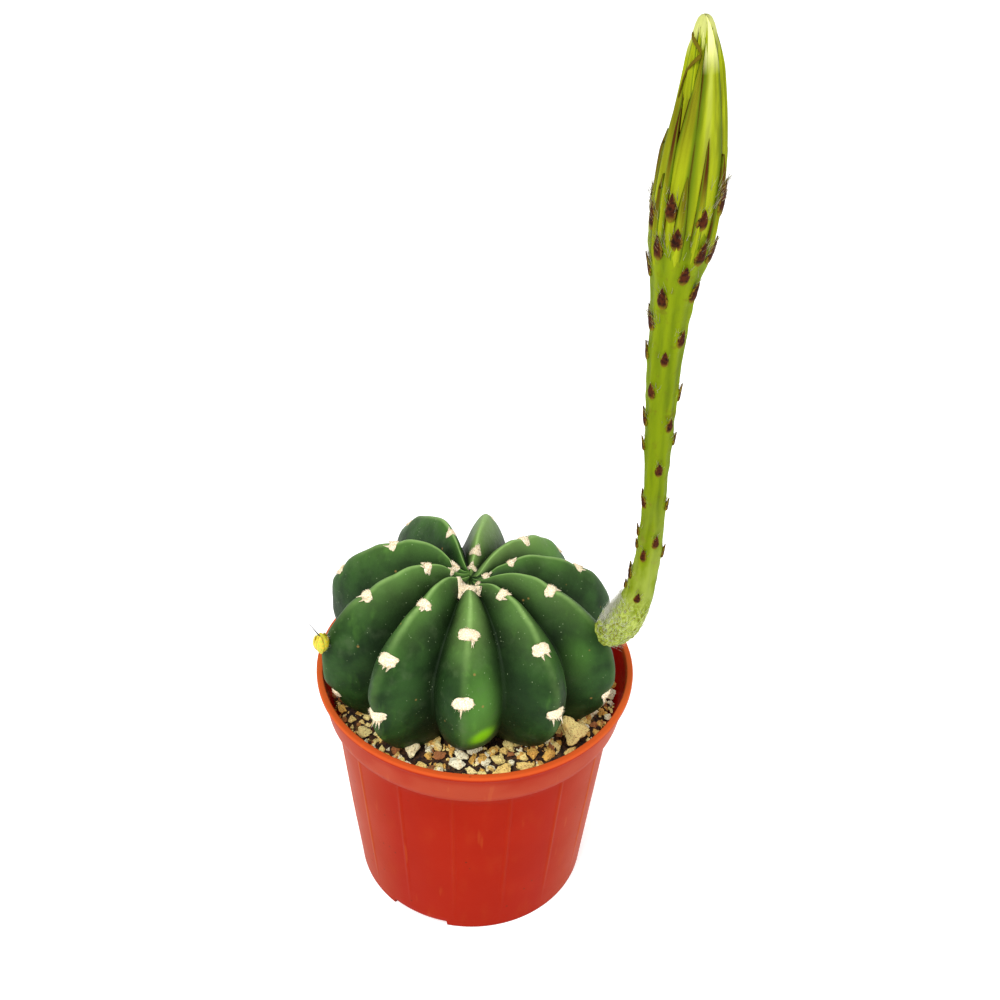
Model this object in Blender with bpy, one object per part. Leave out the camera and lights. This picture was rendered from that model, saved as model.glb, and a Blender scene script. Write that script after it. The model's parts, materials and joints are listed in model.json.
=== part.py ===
"""Potted globe cactus: a ten-ribbed green cactus in a nursery pot, with one long flower bud.

Metres, +Z up. The origin is the middle of the pot's underside, and the pot's front faces -Y.
An azimuth is measured from the front, and grows towards +X.
"""

import math
import random

import bmesh
import bpy
from mathutils import Matrix, Vector

GAP = 0.0003  # clearance between pieces that touch

# Pot
POT_HEIGHT = 0.0755
RIM_RADIUS = 0.045
RIM_INNER_RADIUS = 0.0432
BAND_FOOT_RADIUS = 0.0424
BAND_FOOT_HEIGHT = 0.0636
BODY_TOP_RADIUS = 0.0402
BASE_RADIUS = 0.0344
WALL = 0.0012
DISC_RADIUS = 0.013  # flat middle of the underside, which the pot stands on with its foot ring
FLOOR_LIFT = 0.002
LIP = 0.0004  # width of the small steps and chamfers of the rim
LIP_DEPTH = 0.0014  # height of the rim's outer lip
POT_STEPS = 64
LINE_COUNT = 16  # raised lines down the body
LINE_WIDTH = 0.0009
LINE_PROUD = 0.0005
LINE_FOOT = 0.004
LINE_TOP = BAND_FOOT_HEIGHT - 0.0006
DRAIN_COUNT = 6
DRAIN_RADIUS = 0.0026
DRAIN_CIRCLE = 0.0235
DRAIN_SIDES = 12
NOTCH_AZIMUTHS = (-26, 94, 214)
NOTCH_WIDTH = 0.018
NOTCH_HEIGHT = 0.0018
NOTCH_DEPTH = 0.008

# Potting mix
MIX_TOP = 0.0655
MIX_FOOT = 0.0035
STONE_COUNT = 46
STONE_RING = (0.0340, 0.0386)
STONE_LARGEST = 0.0020
STONE_SHAPE = (0.6, 0.5, 0.4)  # least share of the largest size, each way
STONE_CLEARANCE = 0.0022  # from a stone's middle to the globe
STONE_TILT = 0.4
WEDGE_AZIMUTH = 45  # the one large stone
WEDGE_REACH = 0.0352
WEDGE_LIFT = 0.0012
WEDGE_FOOT = 0.0042
WEDGE_HEAD = 0.0010
WEDGE_HEIGHT = 0.0080
WEDGE_FLATNESS = 0.45

# Cactus
GLOBE_CENTRE = Vector((0.0007, -0.002, 0.089))
GLOBE_LEAN = math.radians(-2)
GLOBE_FOOT = MIX_TOP + GAP
CREST_RADIUS = 0.0407
CREST_RISE = 0.026
CREST_DROP = 0.030
VALLEY_RADIUS = 0.0295
VALLEY_RISE = 0.0185
VALLEY_DROP = 0.027
CREASE_POWER = 1.35  # over 1 rounds the crests and sharpens the creases
UPPER_POWER = 1.9
LOWER_POWER = 2.3
CROWN_SINK = 0.0075
CROWN_SPREAD = 0.0087
CROWN_SHIFT = Vector((-0.0024, -0.002, 0))
CROWN_SHIFT_SPREAD = 0.014
LOWEST_ANGLE = math.radians(146)  # from the globe's top, down to the soil
NECK_RADIUS = 0.011
NECK_DEPTH = 0.018
NECK_SHOULDER = 0.7  # share of the neck's depth at which it starts to taper
NECK_TAPER = 0.6
NECK_CLEARANCE = 0.0006
# Each rib's azimuth in degrees, its size, and the way down its crest to its first areole and
# from each areole to the next.
RIBS = (
    (-148.0, 1.09, 0.0139, 0.0220),
    (-109.0, 1.09, 0.0250, 0.0210),
    (-72.3, 1.075, 0.0126, 0.0185),
    (-39.5, 1.03, 0.0208, 0.0175),
    (-5.5, 0.90, 0.0235, 0.0180),
    (32.5, 0.95, 0.0143, 0.0188),
    (65.0, 0.99, 0.0236, 0.0195),
    (107.0, 0.95, 0.0115, 0.0220),
    (140.0, 0.92, 0.0230, 0.0200),
    (176.3, 1.03, 0.0090, 0.0220),
)
AREOLE_SIZE = (0.0027, 0.0019, 0.0011)
SPINE_LENGTH = 0.0024
SPINE_RADIUS = 0.0005
SPINE_TURNS = (-0.55, 0.55)
SPINE_TILT = -1.0
LOWEST_AREOLE = 0.0715
FLANK_STEPS = 3
MERIDIAN_STEPS = 17
MERIDIAN_POWER = 1.08  # over 1 sets the rows closer at the crown
WALK_STEP = math.radians(0.5)

# Flower
FLOWER_RIB = 6
FLOWER_REACH = 0.0350  # from the globe's axis to the areole that carries the flower
FLOWER_SLOPE = 0.62  # rise per step out, as it leaves the areole
FLOWER_LIFT = 0.0006  # from the skin to the start of the flower's line
FLOWER_TOP = 0.2580
BEND_SHARE = 0.26  # of the flower's length
BEND_REACH = 0.0075
BEND_RISES = (0.0105, 0.030)
TUBE_TOP = 0.2110
TUBE_X = 0.0419
TUBE_Y = -0.0185
TUBE_SWAY = 0.0008
SWAY_TURNS = 1.12
TIP_LEAN = -0.0014
TUBE_SIDES = 12
TUBE_STEPS = 22
SCALE_ROWS = 15
SCALE_SIZES = (0.0009, 0.0017)  # from the foot to the throat
SCALE_SPAN = (0.08, 0.96)  # of the tube's length
SCALE_TURN = 2.4  # from row to row, near the golden angle
SCALE_LEAN = -0.28
SCALE_SINK = 0.0005
BUD_STEPS = 12
TEPAL_COUNT = 9
TEPAL_STEPS = (8, 4)  # along and across
TEPAL_START = 0.012  # share of the flower's length between the bud's foot and the tepals
TEPAL_SPREADS = (0.42, 0.05)  # half the angle that a tepal covers, added at its foot and throughout
TEPAL_THICKNESS = 0.0008
TEPAL_CROWN = 0.0006
TEPAL_TIPS = (0.995, 0.955, 0.875)  # shares of the flower's length, layer by layer
TEPAL_LIFTS = (0.0, 0.0003, 0.0006)
# The flower's radius at shares of its length, from its woolly foot to its tip.
GIRTH = (
    (0.000, 0.0034), (0.030, 0.0046), (0.090, 0.0049), (0.150, 0.0042), (0.200, 0.0036),
    (0.270, 0.0031), (0.357, 0.0029), (0.428, 0.0032), (0.500, 0.0036), (0.574, 0.0040),
    (0.620, 0.0043), (0.680, 0.0054), (0.731, 0.0070), (0.778, 0.0074), (0.831, 0.0071),
    (0.877, 0.0062), (0.927, 0.0049), (0.959, 0.0038), (0.982, 0.0025), (0.995, 0.0014),
    (1.000, 0.0006),
)

# Young bud
YOUNG_RIB = 2
YOUNG_HEIGHT = 0.0960
YOUNG_OFFSET = 0.0018
YOUNG_RADIUS = 0.0021
YOUNG_LENGTH = 0.0066
YOUNG_SCALES = 5
YOUNG_SCALE_LENGTH = 0.0026
YOUNG_SCALE_RADIUS = 0.0008
YOUNG_SCALE_STEP = 0.0004


def clear_scene():
    for item in list(bpy.data.objects):
        bpy.data.objects.remove(item)


def make_material(name, colour, roughness):
    material = bpy.data.materials.new(name)
    material.use_nodes = True
    shader = material.node_tree.nodes["Principled BSDF"]
    shader.inputs["Base Color"].default_value = (*colour, 1)
    shader.inputs["Roughness"].default_value = roughness
    shader.inputs["Metallic"].default_value = 0
    return material


def make_object(name, shape, material=None, collection=None):
    """Turns a bmesh into an object, with its normals out."""
    bmesh.ops.recalc_face_normals(shape, faces=shape.faces)
    mesh = bpy.data.meshes.new(name)
    shape.to_mesh(mesh)
    shape.free()
    piece = bpy.data.objects.new(name, mesh)
    (collection or bpy.context.scene.collection).objects.link(piece)
    if material:
        mesh.materials.append(material)
    return piece


def combine(body, shapes, operation):
    """Joins a list of bmeshes to a body, or cuts them from it, with one applied Boolean."""
    group = bpy.data.collections.new("group")
    bpy.context.scene.collection.children.link(group)
    for shape in shapes:
        make_object("repeat", shape, collection=group)
    modifier = body.modifiers.new("combine", "BOOLEAN")
    modifier.operation = operation
    modifier.operand_type = "COLLECTION"
    modifier.collection = group
    graph = bpy.context.evaluated_depsgraph_get()
    mesh = bpy.data.meshes.new_from_object(body.evaluated_get(graph))
    body.modifiers.clear()
    old, body.data = body.data, mesh
    bpy.data.meshes.remove(old)
    for repeat in list(group.objects):
        bpy.data.objects.remove(repeat)
    bpy.data.collections.remove(group)


def smooth(piece, degrees):
    piece.data.shade_smooth()
    piece.data.set_sharp_from_angle(angle=math.radians(degrees))


def radial(azimuth):
    """Unit vector away from the middle, at an azimuth in radians from the front."""
    return Vector((math.sin(azimuth), -math.cos(azimuth), 0))


def lathe(profile, steps):
    """Spins a closed profile of (radius, height) points, or one that starts and ends on the axis."""
    shape = bmesh.new()
    points = [shape.verts.new((radius, 0, height)) for radius, height in profile]
    ends = zip(points, points[1:])
    edges = [shape.edges.new(pair) for pair in ends]
    bmesh.ops.spin(
        shape,
        geom=points + edges,
        cent=(0, 0, 0),
        axis=(0, 0, 1),
        angle=math.tau,
        steps=steps,
        use_merge=True,
    )
    bmesh.ops.remove_doubles(shape, verts=shape.verts, dist=0.00001)
    return shape


def blob(matrix, subdivisions=1):
    shape = bmesh.new()
    bmesh.ops.create_icosphere(shape, subdivisions=subdivisions, radius=1, matrix=matrix)
    return shape


def cone(length, radius, matrix, sides=4):
    """A cone with its foot at the matrix's origin, pointing along its Z."""
    shape = bmesh.new()
    bmesh.ops.create_cone(
        shape,
        cap_ends=True,
        segments=sides,
        radius1=radius,
        radius2=radius * 0.15,
        depth=length,
        matrix=matrix @ Matrix.Translation((0, 0, length / 2)),
    )
    return shape


def facing(place, normal, along):
    """A matrix at a place, with its Z on the normal and its Y as near to along as can be."""
    z = normal.normalized()
    x = along.cross(z).normalized()
    y = z.cross(x)
    return Matrix.Translation(place) @ Matrix((x, y, z)).transposed().to_4x4()


# ---------------------------------------------------------------- pot


def outer_radius(height):
    """The pot body's outer radius below its band."""
    return BASE_RADIUS + (BODY_TOP_RADIUS - BASE_RADIUS) * height / BAND_FOOT_HEIGHT


def pot_profile():
    band_top = POT_HEIGHT - LIP_DEPTH
    floor = FLOOR_LIFT + WALL
    outside = [
        (0, 0),
        (DISC_RADIUS, 0),
        (DISC_RADIUS + FLOOR_LIFT, FLOOR_LIFT),
        (BASE_RADIUS - WALL, FLOOR_LIFT),
        (BASE_RADIUS - WALL, 0),
        (BASE_RADIUS, 0),
        (BODY_TOP_RADIUS, BAND_FOOT_HEIGHT),
        (BAND_FOOT_RADIUS, BAND_FOOT_HEIGHT + LIP),
        (RIM_RADIUS - 2 * LIP, band_top),
        (RIM_RADIUS, band_top + LIP),
        (RIM_RADIUS, POT_HEIGHT - LIP),
        (RIM_RADIUS - LIP, POT_HEIGHT),
    ]
    inside = [
        (RIM_INNER_RADIUS, POT_HEIGHT),
        (RIM_INNER_RADIUS - LIP, band_top),
        (BAND_FOOT_RADIUS - WALL - LIP, BAND_FOOT_HEIGHT + WALL),
        (outer_radius(BAND_FOOT_HEIGHT) - WALL, BAND_FOOT_HEIGHT - WALL),
        (outer_radius(floor) - WALL, floor),
        (DISC_RADIUS + FLOOR_LIFT - LIP, floor),
        (DISC_RADIUS - LIP, WALL),
        (0, WALL),
    ]
    return outside + inside


def pot_lines():
    """The thin raised lines down the pot's body."""
    slope = math.atan2(BODY_TOP_RADIUS - BASE_RADIUS, BAND_FOOT_HEIGHT)
    length = (LINE_TOP - LINE_FOOT) / math.cos(slope)
    middle = (LINE_TOP + LINE_FOOT) / 2
    lines = []
    for index in range(LINE_COUNT):
        out = radial(math.radians(15 + 360 / LINE_COUNT * index))
        up = out * math.sin(slope) + Vector((0, 0, math.cos(slope)))
        normal = out * math.cos(slope) - Vector((0, 0, math.sin(slope)))
        seat = facing(out * outer_radius(middle) + Vector((0, 0, middle)), normal, up)
        shape = bmesh.new()
        size = Matrix.Diagonal((LINE_WIDTH, length, LINE_PROUD * 2, 1))
        bmesh.ops.create_cube(shape, size=1, matrix=seat @ size)
        lines.append(shape)
    return lines


def pot_holes():
    """Drain holes through the raised floor, and the notches that let water out under the foot."""
    cuts = []
    for index in range(DRAIN_COUNT):
        place = radial(math.tau * (index + 0.5) / DRAIN_COUNT) * DRAIN_CIRCLE
        shape = bmesh.new()
        bmesh.ops.create_cone(
            shape,
            cap_ends=True,
            segments=DRAIN_SIDES,
            radius1=DRAIN_RADIUS,
            radius2=DRAIN_RADIUS,
            depth=WALL * 4,
            matrix=Matrix.Translation(place + Vector((0, 0, FLOOR_LIFT + WALL / 2))),
        )
        cuts.append(shape)
    for azimuth in NOTCH_AZIMUTHS:
        out = radial(math.radians(azimuth))
        seat = facing(out * BASE_RADIUS, out, Vector((0, 0, 1)))
        shape = bmesh.new()
        size = Matrix.Diagonal((NOTCH_WIDTH, 2 * NOTCH_HEIGHT, NOTCH_DEPTH, 1))
        bmesh.ops.create_cube(shape, size=1, matrix=seat @ size)
        cuts.append(shape)
    return cuts


def build_pot(material):
    pot = make_object("pot", lathe(pot_profile(), POT_STEPS), material)
    combine(pot, pot_lines(), "UNION")
    combine(pot, pot_holes(), "DIFFERENCE")
    smooth(pot, 30)


# ---------------------------------------------------------------- cactus


def signed_power(value, power):
    return math.copysign(abs(value) ** power, value)


def meridian(angle, radius, rise, drop):
    """A point (reach, height) on a rounded outline, at an angle from the top."""
    power = 2 / (UPPER_POWER if math.cos(angle) > 0 else LOWER_POWER)
    reach = radius * signed_power(math.sin(angle), power)
    height = (rise if math.cos(angle) > 0 else drop) * signed_power(math.cos(angle), power)
    return reach, height


def crest(angle):
    reach, height = meridian(angle, CREST_RADIUS, CREST_RISE, CREST_DROP)
    return reach, height - CROWN_SINK * math.exp(-((reach / CROWN_SPREAD) ** 2))


def valley(angle):
    return meridian(angle, VALLEY_RADIUS, VALLEY_RISE, VALLEY_DROP)


def on_globe(azimuth, reach, height):
    """A point given round the globe's own axis, leaned and moved to its place in the pot."""
    shift = CROWN_SHIFT * math.exp(-((reach / CROWN_SHIFT_SPREAD) ** 2)) if height > 0 else Vector()
    point = radial(azimuth) * reach + Vector((0, 0, height)) + shift
    return GLOBE_CENTRE + Matrix.Rotation(GLOBE_LEAN, 3, "X") @ point


def skin(rib, share, angle):
    """A point on the skin, at a share of the way from a rib's crest to the next rib's."""
    azimuth, size, _, _ = RIBS[rib]
    next_azimuth, next_size, _, _ = RIBS[(rib + 1) % len(RIBS)]
    turn = (next_azimuth - azimuth) % 360
    depth = (1 - abs(1 - 2 * share)) ** CREASE_POWER
    grown = size + (next_size - size) * share
    crest_point = Vector(crest(angle)) * grown
    valley_point = Vector(valley(angle))
    reach, height = crest_point.lerp(valley_point, depth)
    return on_globe(math.radians(azimuth + turn * share), reach, height)


def crest_frame(rib, way):
    """The place, outward normal and downward direction on a crest, a way down from the crown."""
    angle = WALK_STEP
    place = skin(rib, 0, angle)
    while way > 0:
        angle += WALK_STEP
        following = skin(rib, 0, angle)
        way -= (following - place).length
        place, before = following, place
    down = (place - before).normalized()
    side = radial(math.radians(RIBS[rib][0])).cross(Vector((0, 0, 1)))
    normal = down.cross(side).normalized()
    if normal.dot(place - GLOBE_CENTRE) < 0:
        normal = -normal
    return place, normal, down


def globe_shape():
    """The ribbed globe down to the soil, closed by a neck of root below it."""
    shape = bmesh.new()
    steps = 2 * FLANK_STEPS
    columns = [(rib, step / steps) for rib in range(len(RIBS)) for step in range(steps)]
    rings = []
    for row in range(1, MERIDIAN_STEPS + 1):
        angle = LOWEST_ANGLE * (row / MERIDIAN_STEPS) ** MERIDIAN_POWER
        points = [skin(rib, share, angle) for rib, share in columns]
        for point in points:
            point.z = max(point.z, GLOBE_FOOT)
        rings.append([shape.verts.new(point) for point in points])
    middle = on_globe(0, 0, 0).xy
    outs = [(vert.co.xy - middle).normalized() for vert in rings[-1]]
    for depth, share in ((0, 1), (NECK_SHOULDER, 1), (1, NECK_TAPER)):
        height = GLOBE_FOOT - NECK_DEPTH * depth
        ring = [(*(middle + out * NECK_RADIUS * share), height) for out in outs]
        rings.append([shape.verts.new(point) for point in ring])
    for upper, lower in zip(rings, rings[1:]):
        for index in range(len(columns)):
            after = (index + 1) % len(columns)
            shape.faces.new((upper[index], lower[index], lower[after], upper[after]))
    for ring in (rings[0], rings[-1]):
        centre = shape.verts.new(sum((vert.co for vert in ring), Vector()) / len(ring))
        for index in range(len(ring)):
            shape.faces.new((centre, ring[index], ring[(index + 1) % len(ring)]))
    bmesh.ops.remove_doubles(shape, verts=shape.verts, dist=0.00002)
    return shape


def areole_places():
    """Where the woolly areoles sit, rib by rib, with one more for the flower and one at the crown."""
    places = []
    for rib, (_, _, first, pitch) in enumerate(RIBS):
        way = first
        place, normal, down = crest_frame(rib, way)
        while place.z > LOWEST_AREOLE:
            places.append((place, normal, down))
            way += pitch
            place, normal, down = crest_frame(rib, way)
    places.append((on_globe(0, 0, VALLEY_RISE), Vector((0, 0, 1)), Vector((0, -1, 0))))
    return places


def build_cactus(material, taken):
    """The globe with its areoles, apart from those that a flower has taken up."""
    globe = make_object("cactus_body", globe_shape(), material)
    repeats = []
    for place, normal, down in areole_places():
        if min((place - other).length for other in taken) < 2 * AREOLE_SIZE[0]:
            continue
        seat = facing(place, normal, down)
        repeats.append(blob(seat @ Matrix.Diagonal((*AREOLE_SIZE, 1))))
        for turn in SPINE_TURNS:
            tilt = Matrix.Rotation(turn, 4, "Z") @ Matrix.Rotation(SPINE_TILT, 4, "X")
            repeats.append(cone(SPINE_LENGTH, SPINE_RADIUS, seat @ tilt, sides=3))
    combine(globe, repeats, "UNION")
    smooth(globe, 35)


# ---------------------------------------------------------------- potting mix


def mix_wall(height):
    """The radius that the mix fills at a height, a gap inside the pot's wall."""
    return outer_radius(min(height, BAND_FOOT_HEIGHT)) - WALL - GAP


def globe_reach(azimuth, height):
    """How far the globe stands out at an azimuth, no higher than a height."""
    reach = 0
    for rib in range(len(RIBS)):
        for share in (0, 0.25, 0.5, 0.75):
            for degrees in range(90, 150, 6):
                point = skin(rib, share, math.radians(degrees))
                if point.z < height and radial(azimuth).angle(Vector((*point.xy, 0))) < 0.2:
                    reach = max(reach, point.xy.length)
    return reach


def stones(seed=7):
    """Angular stones half sunk in the mix, on the ring that the globe leaves free."""
    draw = random.Random(seed)
    shapes = []
    for index in range(STONE_COUNT):
        azimuth = math.tau * (index + draw.uniform(-0.3, 0.3)) / STONE_COUNT
        inner, outer = STONE_RING
        inner = max(inner, globe_reach(azimuth, MIX_TOP + 2 * STONE_LARGEST) + STONE_CLEARANCE)
        reach = draw.uniform(min(inner, outer), outer)
        size = Vector([STONE_LARGEST * draw.uniform(least, 1) for least in STONE_SHAPE])
        reach = min(reach, mix_wall(MIX_TOP) + GAP - size.x)
        place = radial(azimuth) * reach + Vector((0, 0, MIX_TOP + size.z * 0.3))
        turn = Matrix.Rotation(draw.uniform(0, math.tau), 4, "Z")
        tilt = Matrix.Rotation(draw.uniform(-STONE_TILT, STONE_TILT), 4, "X")
        shapes.append(blob(Matrix.Translation(place) @ turn @ tilt @ Matrix.Diagonal((*size, 1))))
    return shapes


def wedge_stone():
    """The large wedge-shaped stone that leans against the globe's side."""
    out = radial(math.radians(WEDGE_AZIMUTH))
    place = out * WEDGE_REACH + Vector((0, 0, MIX_TOP + WEDGE_LIFT))
    seat = facing(place, out + Vector((0, 0, 0.6)), Vector((0, 0, 1)))
    stand = Matrix.Rotation(-math.pi / 2, 4, "X")
    shape = bmesh.new()
    bmesh.ops.create_cone(
        shape,
        cap_ends=True,
        segments=4,
        radius1=WEDGE_FOOT,
        radius2=WEDGE_HEAD,
        depth=WEDGE_HEIGHT,
        matrix=seat @ stand @ Matrix.Diagonal((1, WEDGE_FLATNESS, 1, 1)),
    )
    return shape


def build_mix(material):
    """The mix fills the pot from its floor, with a hole for the cactus's root neck."""
    hole = NECK_RADIUS + NECK_CLEARANCE
    profile = [
        (0, MIX_FOOT),
        (mix_wall(MIX_FOOT), MIX_FOOT),
        (mix_wall(BAND_FOOT_HEIGHT - WALL), BAND_FOOT_HEIGHT - WALL),
        (BAND_FOOT_RADIUS - WALL - 4 * GAP, MIX_TOP),
        (hole, MIX_TOP),
        (hole, GLOBE_FOOT - NECK_DEPTH * NECK_SHOULDER),
        (hole, GLOBE_FOOT - NECK_DEPTH - NECK_CLEARANCE),
        (0, GLOBE_FOOT - NECK_DEPTH - NECK_CLEARANCE),
    ]
    shape = lathe(profile, POT_STEPS // 2)
    axis = Vector((*on_globe(0, 0, 0).xy, 0))
    for vert in shape.verts:
        if vert.co.xy.length < hole + GAP and vert.co.z > MIX_FOOT + GAP:
            vert.co += axis
    mix = make_object("potting_mix", shape, material)
    combine(mix, [*stones(), wedge_stone()], "UNION")
    smooth(mix, 25)


# ---------------------------------------------------------------- flower


def flower_seat():
    """The areole that carries the flower, and the way out of it."""
    angle = math.radians(20)
    while (skin(FLOWER_RIB, 0, angle) - GLOBE_CENTRE).xy.length < FLOWER_REACH:
        angle += WALK_STEP
    out = radial(math.radians(RIBS[FLOWER_RIB][0])) + Vector((0, 0, FLOWER_SLOPE))
    return skin(FLOWER_RIB, 0, angle), out.normalized()


def bezier(points, share):
    """A point on a smooth curve through a few guide points, by repeated halving between them."""
    while len(points) > 1:
        points = [a.lerp(b, share) for a, b in zip(points, points[1:])]
    return points[0]


def flower_line(share):
    """The middle of the flower: out of its areole, round a bend, then straight up."""
    seat, out = flower_seat()
    start = seat + out * FLOWER_LIFT
    corner, knee = (Vector((TUBE_X, TUBE_Y, start.z + rise)) for rise in BEND_RISES)
    knee.x += TUBE_SWAY
    if share < BEND_SHARE:
        return bezier((start, start + out * BEND_REACH, corner, knee), share / BEND_SHARE)
    rise = (share - BEND_SHARE) / (1 - BEND_SHARE)
    sway = TUBE_SWAY * math.cos(math.tau * rise * SWAY_TURNS) + TIP_LEAN * rise**8
    return Vector((TUBE_X + sway, TUBE_Y, knee.z + (FLOWER_TOP - knee.z) * rise))


def flower_share(height):
    """The share of the flower's line that reaches a height."""
    low, high = 0.0, 1.0
    for _ in range(24):
        half = (low + high) / 2
        if flower_line(half).z < height:
            low = half
        else:
            high = half
    return low


def girth(share):
    """The flower's radius at a share of its length."""
    for (low, small), (high, large) in zip(GIRTH, GIRTH[1:]):
        if share <= high:
            return small + (large - small) * (share - low) / (high - low)
    return GIRTH[-1][1]


def flower_frame(share):
    """A matrix on the flower's line, with its Z along the line."""
    step = 0.004
    ahead = flower_line(min(share + step, 1)) - flower_line(max(share - step, 0))
    return facing(flower_line(share), ahead, Vector((0, 1, 0)))


def sweep(shares, thinner=0.0):
    """A closed round body along the flower's line."""
    shape = bmesh.new()
    rings = []
    for share in shares:
        frame = flower_frame(share)
        radius = max(girth(share) - thinner, 0.0005)
        turns = (math.tau * side / TUBE_SIDES for side in range(TUBE_SIDES))
        ring = [frame @ Vector((math.cos(turn) * radius, math.sin(turn) * radius, 0)) for turn in turns]
        rings.append([shape.verts.new(point) for point in ring])
    for lower, upper in zip(rings, rings[1:]):
        for side in range(TUBE_SIDES):
            after = (side + 1) % TUBE_SIDES
            shape.faces.new((lower[side], lower[after], upper[after], upper[side]))
    for ring in (rings[0], rings[-1]):
        shape.faces.new(ring)
    return shape


def scale_leaf(share, turn, size):
    """One pointed scale lying up along the tube, with its foot sunk in it."""
    out = Vector((math.cos(turn), math.sin(turn), 0))
    root = flower_frame(share) @ Matrix.Translation(out * (girth(share) - SCALE_SINK))
    lean = Matrix.Rotation(turn - math.pi / 2, 4, "Z") @ Matrix.Rotation(SCALE_LEAN, 4, "X")
    return cone(size * 2.6, size, root @ lean @ Matrix.Diagonal((1, 0.6, 1, 1)))


def build_tube(material, top):
    """The flower's tube, from its woolly foot to the bud, with its scales in rows."""
    shares = [top * (step / TUBE_STEPS) ** 1.25 for step in range(TUBE_STEPS + 1)]
    tube = make_object("flower_tube", sweep(shares), material)
    leaves = []
    for row in range(SCALE_ROWS):
        rise = row / (SCALE_ROWS - 1)
        share = top * (SCALE_SPAN[0] + (SCALE_SPAN[1] - SCALE_SPAN[0]) * rise**0.85)
        size = SCALE_SIZES[0] + (SCALE_SIZES[1] - SCALE_SIZES[0]) * rise
        around = 3 if rise > 0.6 else 2
        for side in range(around):
            leaves.append(scale_leaf(share, row * SCALE_TURN + side * math.tau / around, size))
    combine(tube, leaves, "UNION")
    smooth(tube, 35)


def slab(outer, inner):
    """A closed blade between two grids of points of the same size."""
    shape = bmesh.new()
    sheets = [[[shape.verts.new(point) for point in row] for row in grid] for grid in (outer, inner)]
    last_row, last_column = len(outer) - 1, len(outer[0]) - 1
    for sheet in sheets:
        for lower, upper in zip(sheet, sheet[1:]):
            for column in range(last_column):
                shape.faces.new((lower[column], lower[column + 1], upper[column + 1], upper[column]))
    border = [(0, column) for column in range(last_column)]
    border += [(row, last_column) for row in range(last_row)]
    border += [(last_row, column) for column in range(last_column, 0, -1)]
    border += [(row, 0) for row in range(last_row, 0, -1)]
    for here, there in zip(border, border[1:] + border[:1]):
        front, back = sheets
        corners = (front[here[0]][here[1]], front[there[0]][there[1]])
        shape.faces.new((*corners, back[there[0]][there[1]], back[here[0]][here[1]]))
    return shape


def tepal(turn, low, high, lift):
    """One closed tepal: a pointed blade that hugs the bud, with its inner face sunk in the core."""
    along, across = TEPAL_STEPS
    lanes = [column / across * 2 - 1 for column in range(across + 1)]
    outer, inner = [], []
    for row in range(along + 1):
        rise = row / along
        share = low + (high - low) * rise
        frame = flower_frame(share)
        spread = TEPAL_SPREADS[0] * (1 - rise**3) + TEPAL_SPREADS[1]
        angles = [turn + lane * spread for lane in lanes]
        sides = [Vector((math.cos(angle), math.sin(angle), 0)) for angle in angles]
        reaches = [girth(share) + lift - TEPAL_CROWN * lane**2 for lane in lanes]
        outer.append([frame @ (side * reach) for side, reach in zip(sides, reaches)])
        core = max(girth(share) - 2 * TEPAL_THICKNESS, GAP)
        inner.append([frame @ (side * core) for side in sides])
    return slab(outer, inner)


def build_bud(material, foot):
    """The closed flower: layers of tepals on a slim core."""
    shares = [foot + (1 - foot) * step / BUD_STEPS for step in range(BUD_STEPS + 1)]
    bud = make_object("flower_bud", sweep(shares, thinner=TEPAL_THICKNESS), material)
    blades = []
    for index in range(TEPAL_COUNT):
        layer = index % len(TEPAL_TIPS)
        turn = math.tau * index / TEPAL_COUNT
        blades.append(tepal(turn, foot + TEPAL_START, TEPAL_TIPS[layer], TEPAL_LIFTS[layer]))
    combine(bud, blades, "UNION")
    smooth(bud, 35)


# ---------------------------------------------------------------- young bud


def young_seat():
    """Where the young bud leaves its rib's crest."""
    angle = math.radians(45)
    while skin(YOUNG_RIB, 0, angle).z > YOUNG_HEIGHT:
        angle += WALK_STEP
    return skin(YOUNG_RIB, 0, angle)


def build_young_bud(material):
    """A small spent bud that hangs against the front flank of its rib."""
    azimuth = math.radians(RIBS[YOUNG_RIB][0])
    out = radial(azimuth)
    side = Vector((0, 0, 1)).cross(out)
    middle = young_seat() + (out + side) * YOUNG_OFFSET
    size = Matrix.Diagonal((YOUNG_RADIUS, YOUNG_RADIUS, YOUNG_LENGTH / 2, 1))
    bud = make_object("young_bud", blob(Matrix.Translation(middle) @ size, 2), material)
    scales = []
    for index in range(YOUNG_SCALES):
        turn = azimuth + math.radians(-60 + 45 * index)
        lift = Vector((0, 0, YOUNG_SCALE_STEP * (index % 3)))
        seat = facing(middle + radial(turn) * YOUNG_RADIUS * 0.7 + lift, Vector((0, 0, 1)), radial(turn))
        scales.append(cone(YOUNG_SCALE_LENGTH, YOUNG_SCALE_RADIUS, seat))
    combine(bud, scales, "UNION")
    smooth(bud, 35)


def main():
    clear_scene()
    plastic = make_material("pot_plastic", (0.58, 0.075, 0.025), 0.42)
    grit = make_material("gritty_mix", (0.36, 0.24, 0.13), 0.95)
    skin_green = make_material("cactus_skin", (0.035, 0.12, 0.035), 0.55)
    tube_green = make_material("tube_green", (0.30, 0.42, 0.03), 0.6)
    bud_green = make_material("bud_green", (0.42, 0.50, 0.03), 0.5)
    bud_yellow = make_material("bud_yellow", (0.60, 0.52, 0.05), 0.6)
    taken = (flower_seat()[0], young_seat())
    top = flower_share(TUBE_TOP)
    foot = flower_share(TUBE_TOP + GAP)
    build_pot(plastic)
    build_mix(grit)
    build_cactus(skin_green, taken)
    build_tube(tube_green, top)
    build_bud(bud_green, foot)
    build_young_bud(bud_yellow)


main()
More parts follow.
